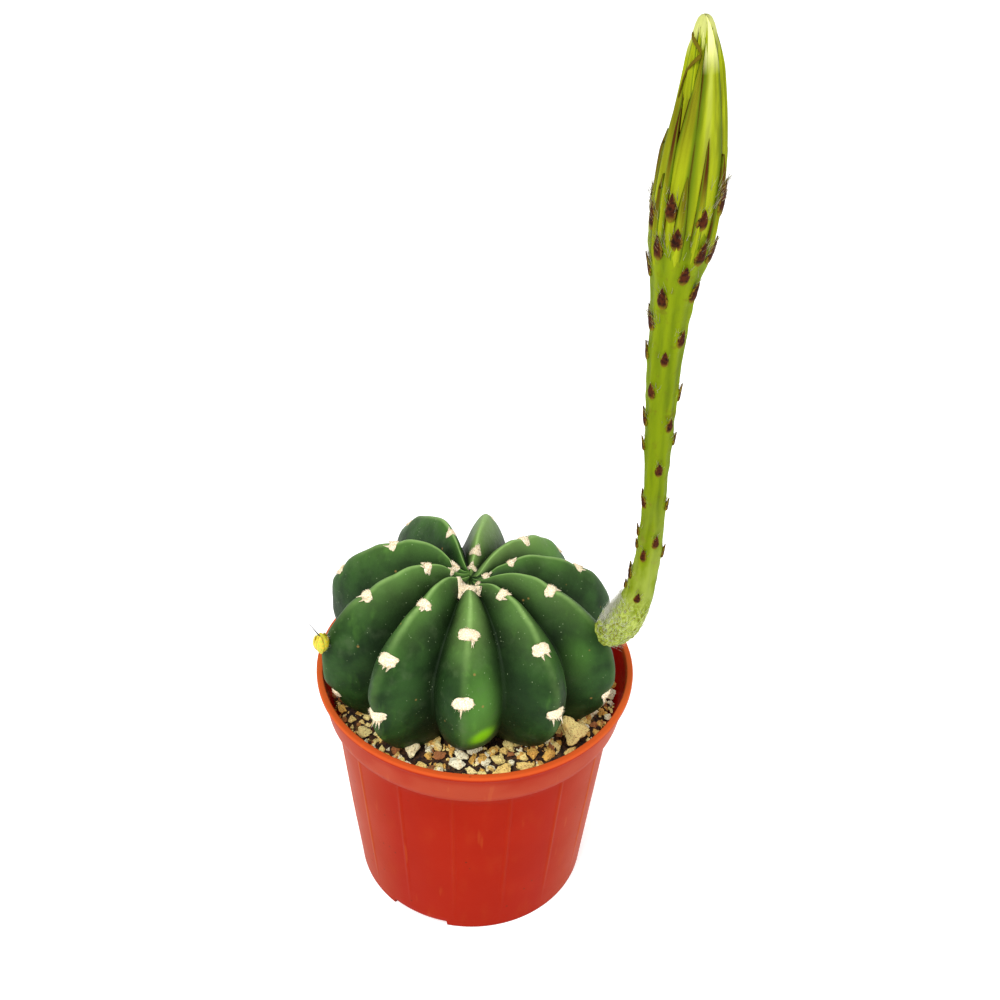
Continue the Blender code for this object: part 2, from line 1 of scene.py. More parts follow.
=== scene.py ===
"""Dresses the potted globe cactus: ribbed skin with woolly areoles, a hairy flower tube with its
bud, a young bud, gritty mix and a thin plastic nursery pot.

Metres, +Z up. An azimuth is measured from the front, -Y, and grows towards +X.
"""

import json
import logging
import math
import random
from collections.abc import Callable, Iterable, Sequence
from dataclasses import dataclass, field
from enum import Enum
from typing import Any

import bmesh
import bpy
import numpy as np
from mathutils import Matrix, Vector, noise
from mathutils.bvhtree import BVHTree

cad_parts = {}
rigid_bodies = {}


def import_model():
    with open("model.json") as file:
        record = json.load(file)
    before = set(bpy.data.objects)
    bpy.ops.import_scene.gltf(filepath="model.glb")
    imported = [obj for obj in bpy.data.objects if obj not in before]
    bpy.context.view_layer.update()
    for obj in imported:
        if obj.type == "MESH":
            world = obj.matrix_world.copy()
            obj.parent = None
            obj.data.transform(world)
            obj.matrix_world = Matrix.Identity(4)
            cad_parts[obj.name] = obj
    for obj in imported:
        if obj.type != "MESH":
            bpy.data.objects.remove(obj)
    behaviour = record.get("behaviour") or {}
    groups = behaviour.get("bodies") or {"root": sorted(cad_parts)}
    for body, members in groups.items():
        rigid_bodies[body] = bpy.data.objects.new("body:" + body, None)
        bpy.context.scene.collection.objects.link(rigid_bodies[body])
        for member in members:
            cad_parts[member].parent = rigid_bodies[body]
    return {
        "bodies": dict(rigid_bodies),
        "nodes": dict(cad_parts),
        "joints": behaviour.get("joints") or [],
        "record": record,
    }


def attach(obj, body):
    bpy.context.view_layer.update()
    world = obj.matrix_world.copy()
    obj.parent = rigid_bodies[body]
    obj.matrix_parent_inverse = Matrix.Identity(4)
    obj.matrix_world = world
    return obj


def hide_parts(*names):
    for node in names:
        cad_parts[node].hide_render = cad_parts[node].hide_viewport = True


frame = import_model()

log = logging.getLogger("potted_cactus")
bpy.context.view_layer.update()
BODY = "root"
UP = Vector((0, 0, 1))
MILLIMETRES = 1000  # in a metre
WELD = 0.000004  # points nearer than this become one
STRAND_SIDES = 3

Colour = tuple[float, float, float, float]
Mark = Callable[[float, float], float]


# ------------------------------------------------------------------ shader graphs


def srgb(red: int, green: int, blue: int) -> Colour:
    """Turns a display colour into the linear one that a shader takes.

    Args:
        red: Red, 0 to 255.
        green: Green, 0 to 255.
        blue: Blue, 0 to 255.

    Returns:
        The linear colour, with an alpha of 1.
    """
    shares = [channel / 255 for channel in (red, green, blue)]
    linear = [s / 12.92 if s <= 0.04045 else ((s + 0.055) / 1.055) ** 2.4 for s in shares]
    return (*linear, 1.0)


class Value:
    """A shader socket that Python arithmetic turns into Math nodes."""

    def __init__(self, graph: "Graph", socket: bpy.types.NodeSocket) -> None:
        """Wraps an output socket of a graph."""
        self.graph = graph
        self.socket = socket

    def math(self, operation: str, *operands: Any) -> "Value":
        """Adds a Math node.

        Args:
            operation: The Math node's operation.
            operands: Its inputs, as values or numbers.

        Returns:
            The node's result.
        """
        node = self.graph.node("ShaderNodeMath", {"operation": operation}, dict(enumerate(operands)))
        return Value(self.graph, node.outputs[0])

    def __add__(self, other: Any) -> "Value":
        """Sum."""
        return self.math("ADD", self, other)

    def __sub__(self, other: Any) -> "Value":
        """Difference."""
        return self.math("SUBTRACT", self, other)

    def __rsub__(self, other: Any) -> "Value":
        """Difference, from the right."""
        return self.math("SUBTRACT", other, self)

    def __mul__(self, other: Any) -> "Value":
        """Product."""
        return self.math("MULTIPLY", self, other)

    __radd__ = __add__
    __rmul__ = __mul__

    def step(self, low: float, high: float) -> "Value":
        """A smooth rise from 0 at low to 1 at high, or a fall where low is the larger.

        Args:
            low: The value that gives 0.
            high: The value that gives 1.

        Returns:
            The share, from 0 to 1.
        """
        settings = {"interpolation_type": "SMOOTHSTEP", "clamp": True}
        inputs = {
            "Value": self,
            "From Min": min(low, high),
            "From Max": max(low, high),
            "To Min": float(low > high),
            "To Max": float(low <= high),
        }
        return Value(self.graph, self.graph.node("ShaderNodeMapRange", settings, inputs).outputs[0])


class Graph:
    """One material's nodes, round its Principled shader."""

    def __init__(self, name: str) -> None:
        """Starts a material with a plain Principled shader.

        Args:
            name: The material's name.
        """
        self.material = bpy.data.materials.new(name)
        self.material.use_nodes = True
        self.tree = self.material.node_tree
        self.shader = self.tree.nodes["Principled BSDF"]

    def link(self, value: Any, target: bpy.types.NodeSocket) -> None:
        """Sets a socket.

        Args:
            value: A value, a socket, a number or a colour.
            target: The socket.
        """
        if isinstance(value, Value):
            value = value.socket
        if isinstance(value, bpy.types.NodeSocket):
            self.tree.links.new(value, target)
        else:
            target.default_value = value

    def node(self, kind: str, settings: dict[str, Any], inputs: dict[Any, Any]) -> bpy.types.Node:
        """Adds a node.

        Args:
            kind: The node's type.
            settings: Its properties, set before its sockets.
            inputs: What its sockets take, by name or number.

        Returns:
            The new node.
        """
        node = self.tree.nodes.new(kind)
        for name, setting in settings.items():
            setattr(node, name, setting)
        for name, value in inputs.items():
            self.link(value, node.inputs[name])
        return node

    def place(self, stretch: Sequence[float] = (1, 1, 1)) -> bpy.types.NodeSocket:
        """Object coordinates in millimetres, stretched along an axis where its share is under 1.

        Args:
            stretch: The share of the scale along each axis.

        Returns:
            The coordinates' socket.
        """
        spot = self.node("ShaderNodeTexCoord", {}, {}).outputs["Object"]
        scale = [MILLIMETRES * share for share in stretch]
        return self.node("ShaderNodeMapping", {}, {"Vector": spot, "Scale": scale}).outputs[0]

    def noise(self, size: float, detail: float = 3, stretch: Sequence[float] = (1, 1, 1)) -> Value:
        """Cloudy variation.

        Args:
            size: Its grain, in millimetres.
            detail: How many finer layers it holds.
            stretch: The share of its frequency along each axis.

        Returns:
            A value round 0.5.
        """
        inputs = {"Vector": self.place(stretch), "Scale": 1 / size, "Detail": detail}
        return Value(self, self.node("ShaderNodeTexNoise", {}, inputs).outputs[0])

    def cells(self, size: float) -> Value:
        """The distance to the nearest of many seeded points, size millimetres apart."""
        inputs = {"Vector": self.place(), "Scale": 1 / size}
        return Value(self, self.node("ShaderNodeTexVoronoi", {}, inputs).outputs["Distance"])

    def mark(self, name: str) -> Value:
        """A number that the piece's own mesh carries at each point."""
        return Value(self, self.node("ShaderNodeAttribute", {"attribute_name": name}, {}).outputs["Fac"])

    def layers(self, ground: Any, *coats: tuple[Any, Any]) -> Any:
        """Lays colours over a ground colour, one after another.

        Args:
            ground: The lowest colour.
            coats: How much of each next colour shows, and that colour.

        Returns:
            The last mix's socket.
        """
        for share, colour in coats:
            inputs = {0: share, 6: ground, 7: colour}
            ground = self.node("ShaderNodeMix", {"data_type": "RGBA"}, inputs).outputs[2]
        return ground

    def bump(self, height: Value, depth: float) -> bpy.types.NodeSocket:
        """Raises the shading by a relief from 0 to 1, its depth in millimetres."""
        inputs = {"Height": height, "Distance": depth / MILLIMETRES}
        return self.node("ShaderNodeBump", {}, inputs).outputs[0]

    def finish(self, **sockets: Any) -> bpy.types.Material:
        """Feeds the Principled shader, with names such as base_color for Base Color.

        Args:
            sockets: What each socket takes.

        Returns:
            The material.
        """
        for name, value in sockets.items():
            title = name.replace("_", " ").title().replace("Ior", "IOR")
            self.link(value, self.shader.inputs[title])
        return self.material


# ------------------------------------------------------------------ finishes


@dataclass(frozen=True)
class PotPlastic:
    """Thin terracotta-red plastic, a little dusty, with scuffs and specks of soil, a painted highlight on
    the lip, painted reflections on the sides, a painted sheen on the band and painted shade inside.
    """

    red: Colour = srgb(149, 27, 4)
    deep: Colour = srgb(139, 22, 3)
    # Painted highlight: the brighter orange painted on the lip's top face, where it faces the light.
    bright: Colour = srgb(208, 92, 40)
    # Painted shade: the deeper, more saturated red painted on the wall's inner face.
    inner: Colour = srgb(186, 14, 10)
    # Real dust and scuffs, and the painted reflection on the pot's sides and their raised lines.
    dust_and_sheen: Colour = srgb(190, 106, 44)
    # Painted sheen: the pinkish haze painted over the band.
    band_sheen: Colour = srgb(180, 94, 64)
    soil: Colour = srgb(84, 34, 18)

    def material(self) -> bpy.types.Material:
        """Builds the pot's material.

        Returns:
            The material, which reads the marks height, lip, line, flank and inside.
        """
        graph = Graph("pot_plastic")
        cloud = graph.noise(14)
        rise = graph.mark("height")
        # Painted reflection: how far a point lies towards the pot's left or right side as seen from the
        # front.
        side = graph.mark("side_sheen")
        film = graph.noise(5, 4, (1, 1, 0.35)).step(0.5, 0.9) * 0.07
        scuff = graph.noise(2.2, 2, (1, 1, 0.08)).step(0.66, 0.74) * 0.12
        # The raised lines are painted lighter towards the sides, a painted highlight.
        line = graph.mark("line") * (0.03 + side * 0.45)
        # Painted sheen: where on the band the pinkish haze is painted, in patches.
        fade = rise.step(0.835, 0.87) * rise.step(0.99, 0.93) * (0.4 + graph.noise(16, 2).step(0.35, 0.65))
        speck = graph.cells(3.6).step(0.12, 0.07) * graph.noise(9, 1).step(0.5, 0.6) * 0.75
        colour = graph.layers(
            self.red,
            (cloud.step(0.3, 0.75) * 0.45, self.deep),
            # Painted highlight on the lip's top face.
            (graph.mark("lip") * 0.65, self.bright),
            (film + scuff + line + side * (0.22 + film), self.dust_and_sheen),
            (fade * 0.24, self.band_sheen),
            # Painted shade on the wall's inner face.
            (graph.mark("inside"), self.inner),
            # Darker along the bottom 0.9 mm of the pot, in the soil specks' colour.
            (rise.step(0.012, 0.0) * 0.5, self.soil),
            (speck * (1 - rise.step(0.5, 0.9) * 0.6), self.soil),
        )
        relief = graph.noise(0.9) * 0.5 + cloud * 0.5
        return graph.finish(
            base_color=colour,
            roughness=0.36 + cloud * 0.12 + film * 0.6,
            normal=graph.bump(relief, 0.06),
            specular_ior_level=0.02,
        )


@dataclass(frozen=True)
class Peat:
    """Damp dark peat, with fibres and crumbs."""

    black: Colour = srgb(30, 15, 11)
    brown: Colour = srgb(104, 70, 38)

    def material(self) -> bpy.types.Material:
        """Builds the material of the mix's ground.

        Returns:
            The material.
        """
        graph = Graph("dark_peat")
        crumb = graph.noise(1.4, 5)
        fibre = graph.noise(0.7, 2, (1, 0.2, 1)).step(0.58, 0.7)
        colour = graph.layers(self.black, (crumb.step(0.4, 0.68) * 0.7 + fibre * 0.3, self.brown))
        normal = graph.bump(crumb + graph.cells(0.8) * 0.4, 0.9)
        return graph.finish(base_color=colour, roughness=0.92, normal=normal)


@dataclass(frozen=True)
class Grit:
    """Pumice and small gravel: mostly cream, some white, tan, rosy or dark, each stone its own, with a faint
    painted glow.
    """

    cream: Colour = srgb(255, 234, 152)
    white: Colour = srgb(255, 250, 216)
    tan: Colour = srgb(236, 186, 92)
    rose: Colour = srgb(170, 108, 64)
    umber: Colour = srgb(56, 32, 16)
    pit: Colour = srgb(110, 76, 38)

    def material(self) -> bpy.types.Material:
        """Builds the stones' material.

        Returns:
            The material, which reads each stone's own tint.
        """
        graph = Graph("pale_grit")
        tint = graph.mark("tint")
        grain = graph.noise(0.55, 5)
        hole = graph.cells(0.75).step(0.24, 0.1) * graph.noise(1.6, 1).step(0.45, 0.6)
        colour = graph.layers(
            self.umber,
            (tint.step(0.05, 0.12), self.rose),
            (tint.step(0.18, 0.28), self.tan),
            (tint.step(0.34, 0.6), self.cream),
            (tint.step(0.7, 0.95), self.white),
            (grain.step(0.5, 0.34) * 0.5, self.pit),
            (hole * 0.4, self.pit),
            (graph.noise(2.4).step(0.52, 0.72) * 0.35, self.tan),
        )
        return graph.finish(
            base_color=colour,
            roughness=0.93,
            normal=graph.bump(grain - hole * 0.5, 0.6),
            # Painted light: the stones glow faintly in their own colour, which lifts them in the pot's
            # shade.
            emission_color=colour,
            emission_strength=0.12,
        )


@dataclass(frozen=True)
class CactusSkin:
    """Waxy dark green skin: pale worn crests, a bright lime patch, creases painted black-green as shade,
    darker patches of painted shade, and painted highlights on a few bright patches and towards the crown.
    """

    dark: Colour = srgb(21, 41, 17)
    mid: Colour = srgb(43, 74, 31)
    # Fresh green, for real streaks and for painted highlights.
    fresh_and_lit: Colour = srgb(84, 132, 50)
    crest: Colour = srgb(134, 168, 96)
    # Painted highlight: the paler green of the ribs' upper parts towards the crown.
    pale: Colour = srgb(118, 148, 80)
    # Painted shade: the near-black green laid in the creases.
    crease: Colour = srgb(8, 16, 6)
    grey: Colour = srgb(78, 96, 64)
    lime: Colour = srgb(126, 190, 16)
    fleck: Colour = srgb(176, 196, 150)
    cork: Colour = srgb(140, 110, 60)

    def material(self) -> bpy.types.Material:
        """Builds the globe's material.

        Returns:
            The material, which reads crease, pale, fall, lime, glow, dusk and sheen.
        """
        graph = Graph("cactus_skin")
        crease = graph.mark("crease")
        fall = graph.mark("fall")
        cloud = graph.noise(7, 4)
        mottle = graph.noise(1.6, 4)
        streak = graph.noise(3.5, 3, (1, 1, 0.3))
        # Painted highlights on the lit and sheen patches, with real streaks of fresh green away from the
        # creases.
        fresh_and_lit = graph.mark("lit_patch") * 0.62 + graph.mark("sheen") * 0.35
        fresh_and_lit += streak.step(0.56, 0.78) * (1 - crease) * 0.4
        line = crease.step(0.16, 0.0) * (0.14 + fall.step(0.46, 0.2) * 0.86)
        flecks = graph.cells(1.1).step(0.15, 0.07) * graph.noise(3, 2).step(0.52, 0.62)
        colour = graph.layers(
            self.dark,
            (cloud.step(0.3, 0.7) * 0.8 + mottle * 0.2, self.mid),
            (fresh_and_lit, self.fresh_and_lit),
            # Painted shade: darker patches on the flanks of the front ribs.
            (graph.mark("shade_patch") * 0.55, self.dark),
            (graph.noise(5).step(0.55, 0.8) * 0.35, self.grey),
            # Painted highlight: the crests and their sides are painted lighter towards the top, where light
            # falls from above.
            (crease.step(0.6, 0.0) * fall.step(0.6, 0.2) * (0.15 + cloud * 0.5), self.fresh_and_lit),
            # Painted highlight: the ribs' upper parts are painted paler towards the crown, each rib by its
            # own amount.
            (graph.mark("pale") * 0.7, self.pale),
            (line * (0.3 + mottle * 0.8), self.crest),
            # Painted shade: the creases are painted near black, where shade falls between the ribs.
            (crease.step(0.45, 1.0) * 0.68, self.crease),
            (graph.mark("lime"), self.lime),
            (flecks * 0.45, self.fleck),
            (graph.cells(6.5).step(0.07, 0.035) * 0.7, self.cork),
        )
        relief = mottle * 0.6 + graph.noise(0.35, 2) * 0.25 + cloud * 0.8 + flecks * 0.1
        return graph.finish(
            base_color=colour,
            roughness=0.42 + mottle * 0.22,
            normal=graph.bump(relief, 0.2),
            specular_ior_level=0.08,
        )


@dataclass(frozen=True)
class Felt:
    """Dense cream felt, each pad and fibre with its own tint."""

    cream: Colour = srgb(255, 246, 226)
    shade: Colour = srgb(224, 202, 162)

    def material(self) -> bpy.types.Material:
        """Builds the areoles' material.

        Returns:
            The material, which reads the mark tint.
        """
        graph = Graph("cream_felt")
        grain = graph.noise(0.35, 4)
        colour = graph.layers(
            self.shade, (grain.step(0.35, 0.7), self.cream), (graph.mark("tint") * 0.35, self.shade)
        )
        normal = graph.bump(grain, 0.25)
        return graph.finish(base_color=colour, roughness=0.95, normal=normal, specular_ior_level=0.1)


@dataclass(frozen=True)
class Hair:
    """Fine plant hair, each strand between two tones."""

    name: str
    pale: Colour
    dark: Colour

    def material(self) -> bpy.types.Material:
        """Builds the strands' material.

        Returns:
            The material, which reads each strand's own tint.
        """
        graph = Graph(self.name)
        colour = graph.layers(self.pale, (graph.mark("tint"), self.dark))
        return graph.finish(base_color=colour, roughness=0.7, sheen_weight=0.2)


@dataclass(frozen=True)
class TubeSkin:
    """The flower tube's yellow-green, streaked along its length."""

    green: Colour = srgb(103, 121, 2)
    bright: Colour = srgb(134, 150, 8)
    dark: Colour = srgb(80, 98, 3)
    brown: Colour = srgb(92, 72, 14)
    wool: Colour = srgb(170, 182, 92)

    def material(self) -> bpy.types.Material:
        """Builds the tube's material.

        Returns:
            The material, which reads the marks ridge, base, low and foot.
        """
        graph = Graph("tube_green")
        streak = graph.noise(1.9, 3, (1, 1, 0.1))
        cloud = graph.noise(4, 3, (1, 1, 0.4))
        fleck = graph.noise(0.6, 3, (1, 1, 0.6))
        base = graph.mark("base")
        foot = graph.mark("foot")
        colour = graph.layers(
            self.dark,
            (streak.step(0.25, 0.6), self.green),
            (graph.mark("ridge") * 0.6 + cloud.step(0.55, 0.8) * 0.3, self.bright),
            (base * 0.55, self.bright),
            (graph.noise(2.2).step(0.56, 0.75) * 0.4 + base.step(0.62, 1.0) * 0.6, self.brown),
            (graph.mark("low") * cloud.step(0.3, 0.6) * 0.4, self.wool),
            (foot * fleck.step(0.5, 0.62) * 0.7, self.wool),
            (foot * fleck.step(0.46, 0.36) * 0.55, self.brown),
        )
        normal = graph.bump(streak * 0.7 + graph.noise(0.5, 2) * 0.3, 0.22)
        return graph.finish(base_color=colour, roughness=0.6, normal=normal, specular_ior_level=0.06)


@dataclass(frozen=True)
class Scale:
    """The flower's small leafy scales, dark brown with a green foot."""

    brown: Colour = srgb(72, 32, 12)
    dark: Colour = srgb(30, 13, 9)
    green: Colour = srgb(128, 112, 18)

    def material(self) -> bpy.types.Material:
        """Builds the scales' material.

        Returns:
            The material, which reads the marks along and edge.
        """
        graph = Graph("brown_scale")
        worn = graph.mark("edge").step(0.55, 1.0) * graph.noise(0.7, 2).step(0.35, 0.6)
        colour = graph.layers(
            self.brown,
            (graph.noise(0.8).step(0.35, 0.7), self.dark),
            (graph.mark("along").step(0.28, 0.02) * 0.8, self.green),
            (worn * 0.8, self.green),
        )
        normal = graph.bump(graph.noise(0.3, 2), 0.08)
        return graph.finish(base_color=colour, roughness=0.7, normal=normal, specular_ior_level=0.05)


@dataclass(frozen=True)
class BudSkin:
    """The bud's tepals: yellow ribs, partly a painted highlight along each middle, green between, brown
    along edges and at the outer tips.
    """

    yellow: Colour = srgb(146, 157, 16)
    olive: Colour = srgb(116, 124, 7)
    green: Colour = srgb(66, 90, 4)
    brown: Colour = srgb(72, 38, 6)
    pale: Colour = srgb(226, 226, 150)

    def material(self) -> bpy.types.Material:
        """Builds the tepals' material.

        Returns:
            The material, which reads the marks edge, along, outer and tip.
        """
        graph = Graph("bud_green")
        edge = graph.mark("edge")
        along = graph.mark("along")
        streak = graph.noise(1.7, 2, (1, 1, 0.06))
        worn = graph.noise(3, 2, (1, 1, 0.3)).step(0.3, 0.5)
        colour = graph.layers(
            self.olive,
            (streak.step(0.35, 0.65), self.yellow),
            (edge.step(0.35, 0.75) * 0.82, self.green),
            # Painted highlight: the middle of each tepal is painted yellower, where its rib catches the
            # light.
            (edge.step(0.3, 0.0) * 0.35, self.yellow),
            (edge.step(0.72, 0.9) * worn * along.step(0.1, 0.35) * 0.9, self.brown),
            (along.step(0.35, 0.8) * graph.mark("outer") * edge.step(0.8, 0.3), self.brown),
            (graph.mark("tip"), self.pale),
        )
        normal = graph.bump(streak, 0.15)
        return graph.finish(base_color=colour, roughness=0.55, normal=normal, specular_ior_level=0.06)


@dataclass(frozen=True)
class YoungSkin:
    """The young bud's golden scales on yellow-green."""

    lime: Colour = srgb(180, 186, 40)
    gold: Colour = srgb(224, 190, 40)
    rust: Colour = srgb(176, 104, 26)

    def material(self) -> bpy.types.Material:
        """Builds the young bud's material.

        Returns:
            The material, which reads the mark edge.
        """
        graph = Graph("bud_yellow")
        grain = graph.noise(0.7)
        colour = graph.layers(
            self.lime,
            (grain.step(0.4, 0.65), self.gold),
            (graph.mark("edge").step(0.6, 1.0) * 0.6, self.rust),
        )
        return graph.finish(base_color=colour, roughness=0.55, normal=graph.bump(grain, 0.15))


# ------------------------------------------------------------------ meshes


def clamped(share: float) -> float:
    """A share held between 0 and 1."""
    return min(1, max(0, share))


def eased(share: float) -> float:
    """A share from 0 to 1 that starts and ends slowly."""
    return share * share * (3 - 2 * share)


def bell(distance: float, width: float) -> float:
    """1 at no distance, which falls smoothly to next to nothing at two widths."""
    return math.exp(-((distance / width) ** 2))


def jitter(draw: random.Random, spread: float) -> Vector:
    """A random offset with the same spread along each axis."""
    return Vector([draw.gauss(0, spread) for _ in range(3)])


def steady(value: float) -> Mark:
    """A mark with the same value everywhere."""
    return lambda across, along: value


def lengthwise(across: float, along: float) -> float:
    """The mark that grows from 0 at a leaf's foot to 1 at its tip."""
    return along


def leaf_edge(across: float, along: float) -> float:
    """The mark that is 1 at the edges of a leaf with a round section, and 0 between them."""
    return abs(math.cos(math.tau * across))


def radial(azimuth: float) -> Vector:
    """Unit vector away from the middle, at an azimuth in radians."""
    return Vector((math.sin(azimuth), -math.cos(azimuth), 0))


def facing(place: Vector, normal: Vector, along: Vector) -> Matrix:
    """A seat on a surface.

    Args:
        place: Where it is.
        normal: Its Z.
        along: The direction that its Y keeps nearest to.

    Returns:
        The seat's matrix.
    """
    z = normal.normalized()
    x = along.cross(z).normalized()
    return Matrix.Translation(place) @ Matrix((x, z.cross(x), z)).transposed().to_4x4()


def rumple(point: Vector, size: float) -> float:
    """Seeded cloudy noise, from -1 to 1, with a grain in metres."""
    return noise.noise(point / size)


def rugged(point: Vector, *grains: tuple[float, float]) -> float:
    """Cloudy noises added up, each with its height and its grain in metres."""
    return sum(height * rumple(point, size) for height, size in grains)


def laid(
    columns: int,
    rows: int,
    place: Callable[[float, float], Vector],
    marks: dict[str, Mark],
) -> bmesh.types.BMesh:
    """Lays a grid on a formula's surface, joins its seams and closes its ends.

    Args:
        columns: Steps across.
        rows: Steps along.
        place: Gives the point at shares across and along.
        marks: What each point carries for its material, by name.

    Returns:
        A closed shape with its faces out.
    """
    shape = bmesh.new()
    bmesh.ops.create_grid(shape, x_segments=columns, y_segments=rows, size=0.5)
    layers = {name: shape.verts.layers.float.new(name) for name in marks}
    for vert in shape.verts:
        across, along = vert.co.x + 0.5, vert.co.y + 0.5
        for name, mark in marks.items():
            vert[layers[name]] = mark(across, along)
        vert.co = place(across, along)
    bmesh.ops.remove_doubles(shape, verts=shape.verts, dist=WELD)
    rim = [edge for edge in shape.edges if edge.is_boundary]
    bmesh.ops.holes_fill(shape, edges=rim, sides=0)
    bmesh.ops.recalc_face_normals(shape, faces=shape.faces)
    return shape


def mesh_of(shape: bmesh.types.BMesh, name: str) -> bpy.types.Mesh:
    """Turns a shape into a mesh.

    Args:
        shape: The shape, which is freed.
        name: The mesh's name.

    Returns:
        The mesh.
    """
    mesh = bpy.data.meshes.new(name)
    shape.to_mesh(mesh)
    shape.free()
    return mesh


def merged(shapes: Iterable[bmesh.types.BMesh]) -> bmesh.types.BMesh:
    """Gathers shapes that carry the same marks into one.

    Args:
        shapes: The shapes, which are freed.

    Returns:
        The one shape.
    """
    whole = bmesh.new()
    for shape in shapes:
        mesh = mesh_of(shape, "part")
        whole.from_mesh(mesh)
        bpy.data.meshes.remove(mesh)
    return whole


def placed(name: str, data: bpy.types.ID) -> bpy.types.Object:
    """Adds an object to the scene.

    Args:
        name: Its name.
        data: Its mesh, lamp or camera.

    Returns:
        The new object.
    """
    made = bpy.data.objects.new(name, data)
    bpy.context.scene.collection.objects.link(made)
    return made


class Heap:
    """Many copies of small shapes in one mesh, each with its own tint."""

    def __init__(self) -> None:
        """Starts empty."""
        self.points: list[np.ndarray] = []
        self.faces: list[np.ndarray] = []
        self.tints: list[np.ndarray] = []
        self.count = 0

    def add(self, points: np.ndarray, faces: np.ndarray, tint: float) -> None:
        """Adds one copy.

        Args:
            points: Its points, in place.
            faces: Its triangles.
            tint: The value that its material reads.
        """
        self.points.append(points)
        self.faces.append(faces + self.count)
        self.tints.append(np.full(len(points), tint))
        self.count += len(points)

    def mesh(self, name: str) -> bpy.types.Mesh:
        """The heap as one mesh.

        Args:
            name: The mesh's name.

        Returns:
            The mesh, which carries the tints.
        """
        mesh = bpy.data.meshes.new(name)
        mesh.from_pydata(np.concatenate(self.points), [], np.concatenate(self.faces))
        tint = mesh.attributes.new("tint", "FLOAT", "POINT")
        tint.data.foreach_set("value", np.concatenate(self.tints).astype(np.float32))
        return mesh


def piece(
    name: str, shape: bmesh.types.BMesh | Heap, material: bpy.types.Material
) -> bpy.types.Object:
    """Makes a shape a piece that rides on the pot's body.

    Args:
        name: The piece's name.
        shape: Its shape, in place.
        material: Its finish.

    Returns:
        The new object.
    """
    mesh = shape.mesh(name) if isinstance(shape, Heap) else mesh_of(shape, name)
    mesh.materials.append(material)
    mesh.shade_smooth()
    made = placed(name, mesh)
    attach(made, BODY)
    log.info("%s: %d faces", name, len(mesh.polygons))
    return made


def arrays(shape: bmesh.types.BMesh) -> tuple[np.ndarray, np.ndarray]:
    """Reads a small shape.

    Args:
        shape: The shape, which is freed.

    Returns:
        Its points and its triangles.
    """
    bmesh.ops.triangulate(shape, faces=shape.faces)
    shape.verts.index_update()
    points = np.array([vert.co[:] for vert in shape.verts])
    faces = np.array([[vert.index for vert in face.verts] for face in shape.faces])
    shape.free()
    return points, faces


class Strands(Heap):
    """Thin tapered hairs, each a bent copy of one slim cone."""

    def __init__(self, segments: int, seed: int) -> None:
        """Makes the slim cone.

        Args:
            segments: Its segments along.
            seed: What its random draws start from.
        """
        super().__init__()
        self.draw = random.Random(seed)
        shape = bmesh.new()
        move = Matrix.Translation((0, 0, 0.5))
        bmesh.ops.create_cone(
            shape, cap_ends=True, segments=STRAND_SIDES, radius1=1, radius2=0.15, depth=1, matrix=move
        )
        upright = [edge for edge in shape.edges if abs(edge.verts[0].co.z - edge.verts[1].co.z) > 0.5]
        bmesh.ops.subdivide_edges(shape, edges=upright, cuts=segments - 1)
        self.cone, self.cone_faces = arrays(shape)

    def grow(
        self, root: Vector, way: Vector, bend: Vector, length: float, radius: float, tint: float
    ) -> None:
        """Adds one hair.

        Args:
            root: Where it starts.
            way: Its first direction.
            bend: How its direction has changed by its tip.
            length: Its length.
            radius: Its radius at the root.
            tint: The value that its material reads.
        """
        way = way.normalized()
        side = way.orthogonal().normalized()
        over = way.cross(side)
        along = self.cone[:, 2:3] * length
        line = along * np.array(way) + along * self.cone[:, 2:3] * np.array(bend)
        ring = self.cone[:, 0:1] * np.array(side) + self.cone[:, 1:2] * np.array(over)
        self.add(np.array(root) + line + ring * radius, self.cone_faces, tint)


# ------------------------------------------------------------------ cactus


@dataclass(frozen=True)
class Rib:
    """A rib, and how its areoles lie down its crest.

    Its azimuth is in degrees. Its areoles start at first and are a pitch apart, in metres, and pad is their
    size. A higher tone is a paler crown, a painted highlight on the rib's upper part, and an edge of 1 is a
    sharp crest.
    """

    azimuth: float
    size: float
    first: float
    pitch: float
    pad: float
    # How much painted highlight pales the crown.
    tone: float = 0.15
    edge: float = 1.0


@dataclass(frozen=True)
class Patch:
    """A soft patch of a mark: the rib before it, its share to the next, degrees from the top, and size."""

    mark: str
    rib: int
    share: float
    angle: float
    size: tuple[float, float, float]
    strength: float = 1.0


@dataclass(frozen=True)
class Seat:
    """An areole's place on a crest, with Z out and Y down the crest, and its size."""

    matrix: Matrix
    size: float


